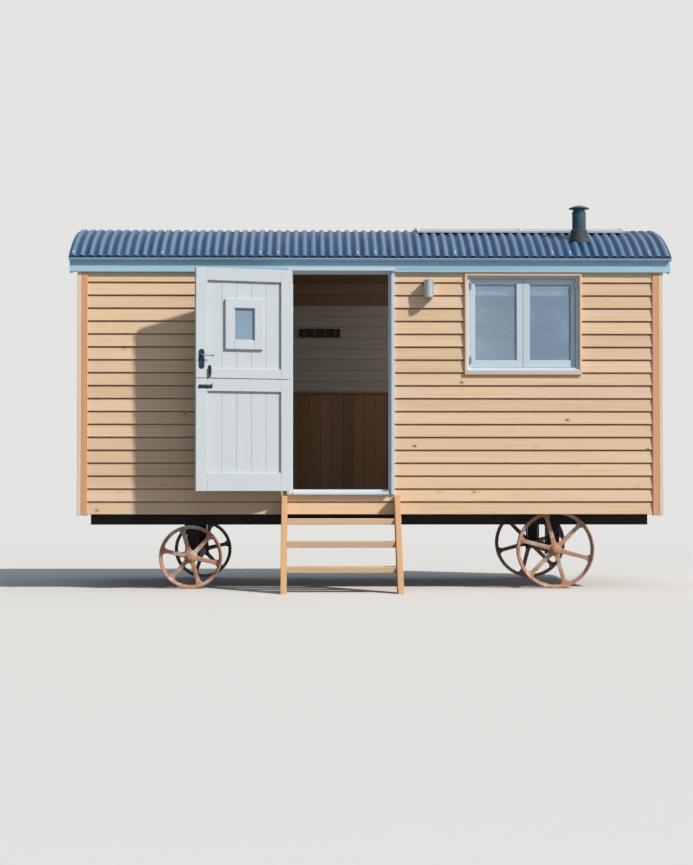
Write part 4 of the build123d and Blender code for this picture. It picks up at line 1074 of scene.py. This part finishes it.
class HUT_OT_window(HutOperator, bpy.types.Operator):
    """Fit the two casements, their butts and glass, and hang the blind behind them"""

    bl_idname = "hut.window"
    bl_label = "Window, blind and lamp"

    def build(self):
        softened("window_case", "window_frame", self.paint("frames", "X"))
        low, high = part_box("window_sashes")
        middle, foot, head = (low.x + high.x) / 2, low.z, high.z
        face = WINDOW_FRONT + 0.018
        back = face + 0.034
        outer, inner, bead = 0.034, 0.052, 0.005
        bm, bars, panes = new_shape(), new_shape(), new_shape()
        for near, far, stiles in (
            (0.863, middle - 0.0015, (outer, inner)), (middle + 0.0015, 1.767, (inner, outer)),
        ):
            left, right, under, over = near + stiles[0], far - stiles[1], foot + 0.057, head - 0.043
            for x in ((near, left), (right, far)):
                block(bm, x, (face, back), (foot, head))
            for z in ((foot, under), (over, head)):
                block(bm, (left - 0.0003, right + 0.0003), (face + 0.0005, back - 0.0005), z)
            for y in ((face + 0.006, face + 0.0115), (face + 0.0165, back - 0.006)):
                for x in (left, right - bead):
                    block(bars, (x, x + bead), y, (under, over), 0.0015, 1)
                for z in (under, over - bead):
                    block(bars, (left + bead, right - bead), y, (z, z + bead), 0.0015, 1)
            block(panes, (left, right), (face + 0.012, face + 0.016), (under, over), 0)
        give_tone(bm, 0.5)
        upright, level = self.paint("frames", "Z"), self.paint("frames", "X")
        finish_piece("window_casements", bm, upright, "window_sashes")
        finish_piece("glazing_beads", bars, level)
        self.butts(middle, (foot + head) / 2)
        # the casement glass's blue-grey is a painted reflection of the sky
        glazing = pane("casement_glass", linear(172, 200, 226), 0.35)
        finish_piece("window_panes", panes, glazing, "window_glass", FLAT)
        self.blind()
        self.lamp()

    def butts(self, middle, level):
        """Two hinges to a sash: three knuckles and two flaps each."""
        bm = new_shape()
        knuckle = WINDOW_FRONT - 0.0043
        for x in (0.860, 1.770):
            inward = 1 if x < middle else -1
            for z in about(level, 0.321):
                for k in range(3):
                    start = z - 0.031 + k * 0.021
                    rod(bm, (x, knuckle, start), (x, knuckle, start + 0.0200), 0.0040, eased=0.0006)
                for side, reach in ((inward, 0.012), (-inward, 0.010)):
                    flap = (x + side * 0.0005, x + side * reach)
                    y = (WINDOW_FRONT - 0.002, WINDOW_FRONT - 0.0004)
                    block(bm, flap, y, about(z, 0.030), 0.0004, 1)
        paint = painted_steel("butt_paint", linear(136, 162, 184), 0.4)
        finish_piece("window_butts", bm, paint, smooth=32)

    def blind(self):
        """A cloth gathered in soft folds at the head of the window."""
        low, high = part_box("blind")
        low.z -= 0.062
        low.y += 0.007
        folds, rows, columns, hem = 7, 84, 48, 0.006
        wide, middle = high.x - low.x, (low.y + high.y) / 2
        deep = (high.y - low.y) / 2 - 0.0025
        path = []
        for row in range(rows + 1):
            share = row / rows
            drop = 0.002 + share * (high.z - low.z - 0.010)
            path.append((middle - deep * sin(2 * pi * folds * share), high.z - drop))
        cut_length = sum((Vector(a) - Vector(b)).length for a, b in zip(path, path[1:]))
        bm = bmesh.new()
        uv = bm.loops.layers.uv.new("weave")
        grid = bmesh.ops.create_grid(bm, x_segments=columns, y_segments=rows, size=0.5)["verts"]
        flat = {vert: (vert.co.x + 0.5, vert.co.y + 0.5) for vert in grid}
        for vert, (u, v) in flat.items():
            y, z = path[round((1 - v) * rows)]
            sag = 0.0035 * sin(pi * u) * (1 - v) + 0.0012 * sin(9.0 * u * pi + 5 * v)
            vert.co = (low.x + hem + u * (wide - 2 * hem), y, z - sag)
        for face in bm.faces:
            for loop in face.loops:
                u, v = flat[loop.vert]
                loop[uv].uv = (u * wide, v * cut_length)
        weave = cloth("blind_weave", linear(242, 244, 244))
        piece = finish_piece("blind_folds", bm, weave, "blind", 60)
        piece.modifiers.new("thickness", "SOLIDIFY").thickness = 0.0008

    def lamp(self):
        """A half-round steel shade, open above and below, on its wall plate."""
        low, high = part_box("lamp")
        radius, shell = 0.040, 0.0015
        x, middle = (low.x + high.x) / 2, low.y + radius
        bm = new_shape()
        corners = [(radius - shell, low.z), (radius, low.z), (radius, high.z), (radius - shell, high.z)]
        verts = [bm.verts.new((x + r, middle, z)) for r, z in corners]
        face = bm.faces.new(verts)
        to_wall = (0, high.y - middle, 0)
        straight = bmesh.ops.extrude_face_region(bm, geom=[face])
        bmesh.ops.translate(bm, vec=to_wall, verts=verts_of(straight))
        bmesh.ops.spin(
            bm, geom=[face, *face.edges, *verts], cent=(x, middle, 0), axis=(0, 0, -1), angle=pi, steps=24)
        last = [f for f in bm.faces if all(abs(v.co.y - middle) < 1e-5 and v.co.x < x for v in f.verts)]
        straight = bmesh.ops.extrude_face_region(bm, geom=last)
        bmesh.ops.translate(bm, vec=to_wall, verts=verts_of(straight))
        plate = (low.x + 0.003, high.x - 0.003)
        block(bm, plate, (high.y - 0.004, high.y), (low.z + 0.004, high.z - 0.004), 0.001)
        bulb = middle + 0.004
        rod(bm, (x, bulb, low.z + 0.030), (x, bulb, high.z - 0.030), 0.020, 20, eased=0.003)
        block(bm, about(x, 0.014), (middle, high.y - 0.002), (low.z + 0.060, high.z - 0.060))
        finish_piece("lamp_shade", bm, brushed_steel("lamp_steel_skin", "Z", 0.75), "lamp", 32)


class HUT_OT_steps(HutOperator, bpy.types.Operator):
    """Set the treads between the raking stringers and drive their screws"""

    bl_idname = "hut.steps"
    bl_label = "Steps"

    def build(self):
        colour = self.colours["steps"]
        rake = (radians(-46.85), 0, -pi / 2)
        # painted shade: the stringers take the steps' colour darkened, to hold down faces that the key light
        # strikes more than the treads
        side = wood("stringer_wood", shade(colour, 0.90, 0.76, 0.64), rake, 0.06, 0.8)
        softened("step_sides", "step_stringers", side, 0.0045, 0.6)
        low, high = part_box("step_treads")
        depth, thick, stringer = 0.215, 0.050, 0.050
        wall, run, slope = -0.7675, 0.602, 1.066667     # the stringers' head, run and slope
        bm, screws = new_shape(), new_shape()
        for level in (0.606, 0.417, 0.213):
            back = wall - (run - level / slope)
            block(bm, (low.x, high.x), (back - depth, back), (level - thick, level), 0.004)
            give_tone(bm, self.chance.uniform(0.2, 0.9))
            for x, out in ((low.x - stringer, -1), (high.x + stringer, 1)):
                for y in (back - depth * 0.25, back - depth * 0.75):
                    place = Vector((x, y, level - thick / 2))
                    ends = [place + Vector((out * reach, 0, 0)) for reach in (-0.002, 0.0004)]
                    rod(screws, *ends, 0.0055)
        tread = wood("tread_wood", colour, "X", 0.10, 0.8)
        finish_piece("step_boards", bm, tread, "step_treads")
        finish_piece("step_screws", screws, brushed_steel("screw_steel", "Y"), smooth=30)


class HUT_OT_running_gear(HutOperator, bpy.types.Operator):
    """Cast the four spoked wheels and bolt the axles to the chassis"""

    bl_idname = "hut.running_gear"
    bl_label = "Wheels and chassis"

    def build(self):
        colour = self.colours["wheels"]
        paint = cast_paint("wheel_primer", colour, 0.75), cast_paint("tread_iron", shade(colour, 1.12), 0.95)
        for end, (x, radius, turn) in AXLES.items():
            for row, side in (("front", -1), ("back", 1)):
                centre = Vector((x, MIDDLE + side * TRACK, radius))
                self.wheel(f"{row}_{end}_wheel", centre, radius, side, radians(turn), paint)
        steel = painted_steel("chassis_paint", self.colours["chassis"], 0.6)
        softened("chassis_channels", "chassis_rails", steel, 0.002)
        softened("chassis_crossbars", "chassis_cross_members", steel, 0.002)
        dress(steel, "axles")
        self.clamps(steel)

    def clamps(self, steel):
        """Four bolts with their nuts, a plate below and one above, at each hanger of an axle."""
        bm = new_shape()
        for x, axle, _ in AXLES.values():
            for y in about(MIDDLE, 0.8):
                for bolt_x in about(x, 0.056):
                    for bolt_y in about(y, 0.016):
                        def at(level):
                            return (bolt_x, bolt_y, level)

                        rod(bm, at(axle - 0.050), at(0.5455), 0.006, 10)
                        rod(bm, at(axle - 0.047), at(axle - 0.037), 0.0105, 6)
                for half, z in ((0.026, (axle - 0.0405, axle - 0.0345)), (0.029, (0.535, 0.5452))):
                    block(bm, about(x, 0.066), about(y, half), z, 0.001, 1)
        finish_piece("axle_clamps", bm, steel, smooth=32)

    def wheel(self, name, centre, radius, side, turn, finishes):
        """Rim with a rib inside, six flared spokes and a hub with a cap."""
        bm = new_shape()
        axis = Vector((0, side, 0))
        half = [(0.0, 0.034), (0.0015, 0.0372), (0.004, 0.038), (0.0105, 0.0375), (0.012, 0.035),
                (0.0125, 0.019), (0.017, 0.0125), (0.028, 0.0112), (0.030, 0.0085)]
        rim = [(radius - inset, out) for inset, out in half]
        rim += [(far, -out) for far, out in reversed(rim)]
        turned(bm, [rim[-1], *rim[:-1]], centre, axis, 72)
        for face in bm.faces:
            out = face.calc_center_median() - centre
            out.y = 0
            if out.length > radius - 0.002:
                face.material_index = 1
        hub = [
            (0.0, 0.0550), (0.020, 0.0545), (0.0265, 0.0520), (0.0290, 0.0480), (0.0295, 0.0435),
            (0.0360, 0.0425), (0.0395, 0.0400), (0.0400, 0.0360), (0.0405, 0.0190), (0.0440, 0.0140),
            (0.0500, 0.0125), (0.0500, -0.0125), (0.0440, -0.0140), (0.0405, -0.0190), (0.0400, -0.0520),
            (0.0385, -0.0550), (0.0183, -0.0550), (0.0183, 0.0360), (0.0, 0.0360),
        ]
        turned(bm, hub, centre, axis, 40)
        flat = Matrix.Rotation(pi / 2, 4, "X")
        for spoke in range(6):
            spin = Matrix.Rotation(side * (turn + spoke * pi / 3), 4, "Y")
            self.spoke(bm, radius - 0.030, Matrix.Translation(centre) @ spin @ flat)
        finish_piece(f"{name}_casting", bm, finishes, name, 34, name)

    def spoke(self, bm, rim, place):
        """A bar that thins outwards and flares into the hub's collar and the rim, its edges rounded."""
        start, collar, half_thick = 0.030, 0.050, 0.011
        grid = bmesh.ops.create_grid(bm, x_segments=14, y_segments=4, size=0.5)["verts"]
        for vert in grid:
            share = vert.co.x + 0.5
            out = start + share * (rim + 0.006 - start)
            half = 0.020 - 0.004 * share
            half += 0.021 * max(0.0, 1 - (rim - out) / 0.040) ** 2
            half += 0.006 * max(0.0, 1 - (out - collar) / 0.022) ** 2
            vert.co = (out, vert.co.y * 2 * half, -half_thick)
        faces = list({face for vert in grid for face in vert.link_faces})
        upper = verts_of(bmesh.ops.extrude_face_region(bm, geom=faces))
        bmesh.ops.translate(bm, vec=(0, 0, 2 * half_thick), verts=upper)
        bm.normal_update()
        edges = sharp_edges(edges_of(grid + upper), 60)
        made = bmesh.ops.bevel(
            bm, geom=edges, offset=0.004, affect="EDGES", segments=2, profile=0.5, material=-1)
        verts = {vert for vert in grid + upper if vert.is_valid} | set(made["verts"])
        bmesh.ops.transform(bm, matrix=place, verts=list(verts))


class HUT_OT_room(HutOperator, bpy.types.Operator):
    """Line the room: floor, wainscot, wall boards, ceiling boards and the hook rail"""

    bl_idname = "hut.room"
    bl_label = "Room"

    def build(self):
        lining, board = self.colours["lining"], 0.105
        dress(grooved("lining_front", lining, board, "Z", "X"), "front_wall_left", "front_wall_middle",
              "front_wall_right", "front_wall_under_window", "front_wall_over_window", "back_wall")
        dress(grooved("lining_ends", lining, board, "Z", "Y"), "end_walls")
        dress(grooved("floor_boards", linear(168, 128, 88), 0.120, "Y", "X"), "floor")
        self.wainscot()
        ceiling = wood("ceiling_wood", self.colours["ceiling"], "X", 0.14, 0.8, 0.6)
        low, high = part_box("ceiling")
        reach = high.y - MIDDLE
        bm = new_shape()
        for near, far in strips(-reach, reach, 20):
            barrel_plate(bm, (low.x, high.x), (near + 0.0012, far - 0.0012), CEILING_RADIUS, 0.016, (1, 3))
            give_tone(bm, self.chance.uniform(0.05, 1.0))
        finish_piece("ceiling_boards", bm, ceiling, "ceiling")
        bm = new_shape()
        for z, thick, tone in (((2.626, 2.7285), 0.014, 0.4), ((2.7295, 2.8200), 0.010, 0.8)):
            block(bm, (-ROOM_X, ROOM_X), (ROOM_BACK - thick, ROOM_BACK), z, 0.003)
            give_tone(bm, tone)
        finish_piece("frieze_boards", bm, ceiling)
        self.hooks()

    def wainscot(self):
        """Upright boards round the back and the ends, with a dado rail on their heads."""
        low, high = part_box("wainscot")
        top, thick, rail, joint = 1.765, 0.012, 0.030, 0.0004
        bm = new_shape()
        for near, far in strips(low.x, high.x, 46):
            block(bm, (near + joint, far - joint), (ROOM_BACK - thick, ROOM_BACK), (low.z, top), 0.0028, 1)
            give_tone(bm, self.chance.uniform(0.05, 1.0))
        for side in (-1, 1):
            wall = side * high.x
            for near, far in strips(low.y, high.y - rail, 20):
                block(bm, (wall, wall - side * thick), (near + joint, far - joint), (low.z, top), 0.0028, 1)
                give_tone(bm, self.chance.uniform(0.05, 1.0))
        waxed = wood("wainscot_wood", self.colours["wainscot"], "Z", 0.16, 0.8, 0.5)
        finish_piece("wainscot_boards", bm, waxed, "wainscot")
        bm = new_shape()
        z = (top + 0.003, top + 0.026)
        block(bm, (low.x, high.x), (ROOM_BACK - rail, ROOM_BACK), z, 0.004)
        for side in (-1, 1):
            wall = side * high.x
            block(bm, (wall, wall - side * rail), (low.y, ROOM_BACK - rail - 0.001), z, 0.004)
        give_tone(bm, 0.5)
        dado = wood("dado_wood", shade(self.colours["wainscot"], 1.15), "X", 0.05, 0.0, 0.45)
        finish_piece("dado_rail", bm, dado)

    def hooks(self):
        """Four curled hooks, each on its plate, on a dark board."""
        low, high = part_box("hook_rail")
        z, face = 2.356, ROOM_BACK - 0.020
        bm, iron = new_shape(), new_shape()
        block(bm, (low.x, high.x), (face, ROOM_BACK), about(z, 0.040), 0.003)
        give_tone(bm, 0.3)
        curl = ((0.002, 0.004), (0.016, -0.003), (0.031, -0.002), (0.039, 0.006), (0.040, 0.022))
        for k in range(4):
            x = (low.x + high.x) / 2 + (k - 1.5) * 0.1
            block(iron, about(x, 0.009), (face - 0.003, face), (z - 0.024, z + 0.020), 0.001, 1)
            bent_rod(iron, [(x, face - out, z + rise) for out, rise in curl], 0.0042, 0.0040)
            ball(iron, (x, face - 0.0395, z + 0.0215), 0.0062)
        dark = wood("hook_board_wood", linear(70, 52, 38), "X", 0.05, 0.0, 0.5)
        finish_piece("hook_board", bm, dark, "hook_rail")
        steel = painted_steel("hook_steel", linear(96, 98, 100), 0.4, 0.2)
        finish_piece("coat_hooks", iron, steel, smooth=31)


class HUT_OT_studio(HutOperator, bpy.types.Operator):
    """Set the pale floor and backdrop, the lamps and the camera"""

    bl_idname = "hut.studio"
    bl_label = "Studio"

    def build(self):
        bm = bmesh.new()
        bmesh.ops.create_circle(bm, cap_ends=True, segments=96, radius=120)
        mesh = bpy.data.meshes.new("studio_ground")
        bm.to_mesh(mesh)
        bm.free()
        mesh.materials.append(studio_floor("studio_floor_paint", linear(207, 204, 200), (0.25, 0.24, 0.24)))
        self.stand("studio_ground", mesh)
        sun = self.light("key", "SUN", 4.4, (1.0, 0.95, 0.885), (-0.642, 0.417, -0.643), (8, -10, 12))
        sun.data.angle = radians(2.0)
        room = self.light("room", "AREA", 5, (1.0, 0.96, 0.92), (-0.9, 0.25, -0.35), (1.3, 0.4, 2.3))
        room.data.size = 1.2
        room.visible_camera = False
        self.world()
        data = bpy.data.cameras.new("camera")
        data.lens = 86.01
        camera = self.stand("camera", data, (-0.5208, -18.5184, 0.9155))
        camera.rotation_euler = (radians(91.378), 0.0, radians(-1.007))
        bpy.context.scene.camera = camera
        bpy.context.scene.view_settings.view_transform = "Standard"

    def stand(self, name, data, place=(0, 0, 0)):
        thing = bpy.data.objects.new(name, data)
        thing.location = place
        bpy.context.scene.collection.objects.link(thing)
        return thing

    def light(self, name, kind, energy, colour, aim, place):
        data = bpy.data.lights.new(name, kind)
        data.energy, data.color = energy, colour
        lamp = self.stand(name, data, place)
        lamp.rotation_euler = Vector(aim).to_track_quat("-Z", "Y").to_euler()
        return lamp

    def world(self):
        """Soft light, weaker from the left, a pale background and a dark card for glossy surfaces."""
        world = bpy.data.worlds.new("studio")
        bpy.context.scene.world = world
        world.use_nodes = True
        f = Nodes(world.node_tree)
        right = f.split(f.add("TexCoord", output="Generated"), "X")
        soft = f.blend(f.spread(right, -0.6, 0.5), (0.17, 0.22, 0.30), (0.46, 0.55, 0.64))
        glossy = f.add("LightPath", output="Is Glossy Ray")
        share = f.math("MULTIPLY", glossy, f.spread(right, -0.75, -0.45, 1.0, 0.0))
        seen = f.blend(share, BACKGROUND, (0.06, 0.11, 0.18))
        light, pale = (f.add("Background", {"Color": colour, "Strength": 1.0}) for colour in (soft, seen))
        mix = f.add("MixShader", {0: f.seen_directly(), 1: light, 2: pale})
        f.join(f.tree.nodes["World Output"].inputs["Surface"], mix)


STEPS = (
    HUT_OT_cladding, HUT_OT_roof, HUT_OT_doors, HUT_OT_window, HUT_OT_steps, HUT_OT_running_gear,
    HUT_OT_room, HUT_OT_studio,
)


class HUT_PT_panel(bpy.types.Panel):
    """The hut's groups of pieces, one button each"""

    bl_idname = "HUT_PT_panel"
    bl_label = "Shepherd's hut"
    bl_space_type = "VIEW_3D"
    bl_region_type = "UI"
    bl_category = "Hut"

    def draw(self, context):
        for step in STEPS:
            self.layout.operator(step.bl_idname)
        for group in (context.scene.hut_sizes, context.scene.hut_colours):
            for name in group.bl_rna.properties.keys():
                if name not in ("rna_type", "name"):
                    self.layout.prop(group, name)


CLASSES = (HutColours, HutSizes, *STEPS, HUT_PT_panel)


def register():
    for cls in CLASSES:
        bpy.utils.register_class(cls)
    bpy.types.Scene.hut_colours = PointerProperty(type=HutColours)
    bpy.types.Scene.hut_sizes = PointerProperty(type=HutSizes)


def unregister():
    del bpy.types.Scene.hut_sizes
    del bpy.types.Scene.hut_colours
    for cls in reversed(CLASSES):
        bpy.utils.unregister_class(cls)


def main():
    """Build everything in order."""
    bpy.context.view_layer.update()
    register()
    for step in STEPS:
        group, name = step.bl_idname.split(".")
        getattr(getattr(bpy.ops, group), name)()


if __name__ == "__main__":
    main()
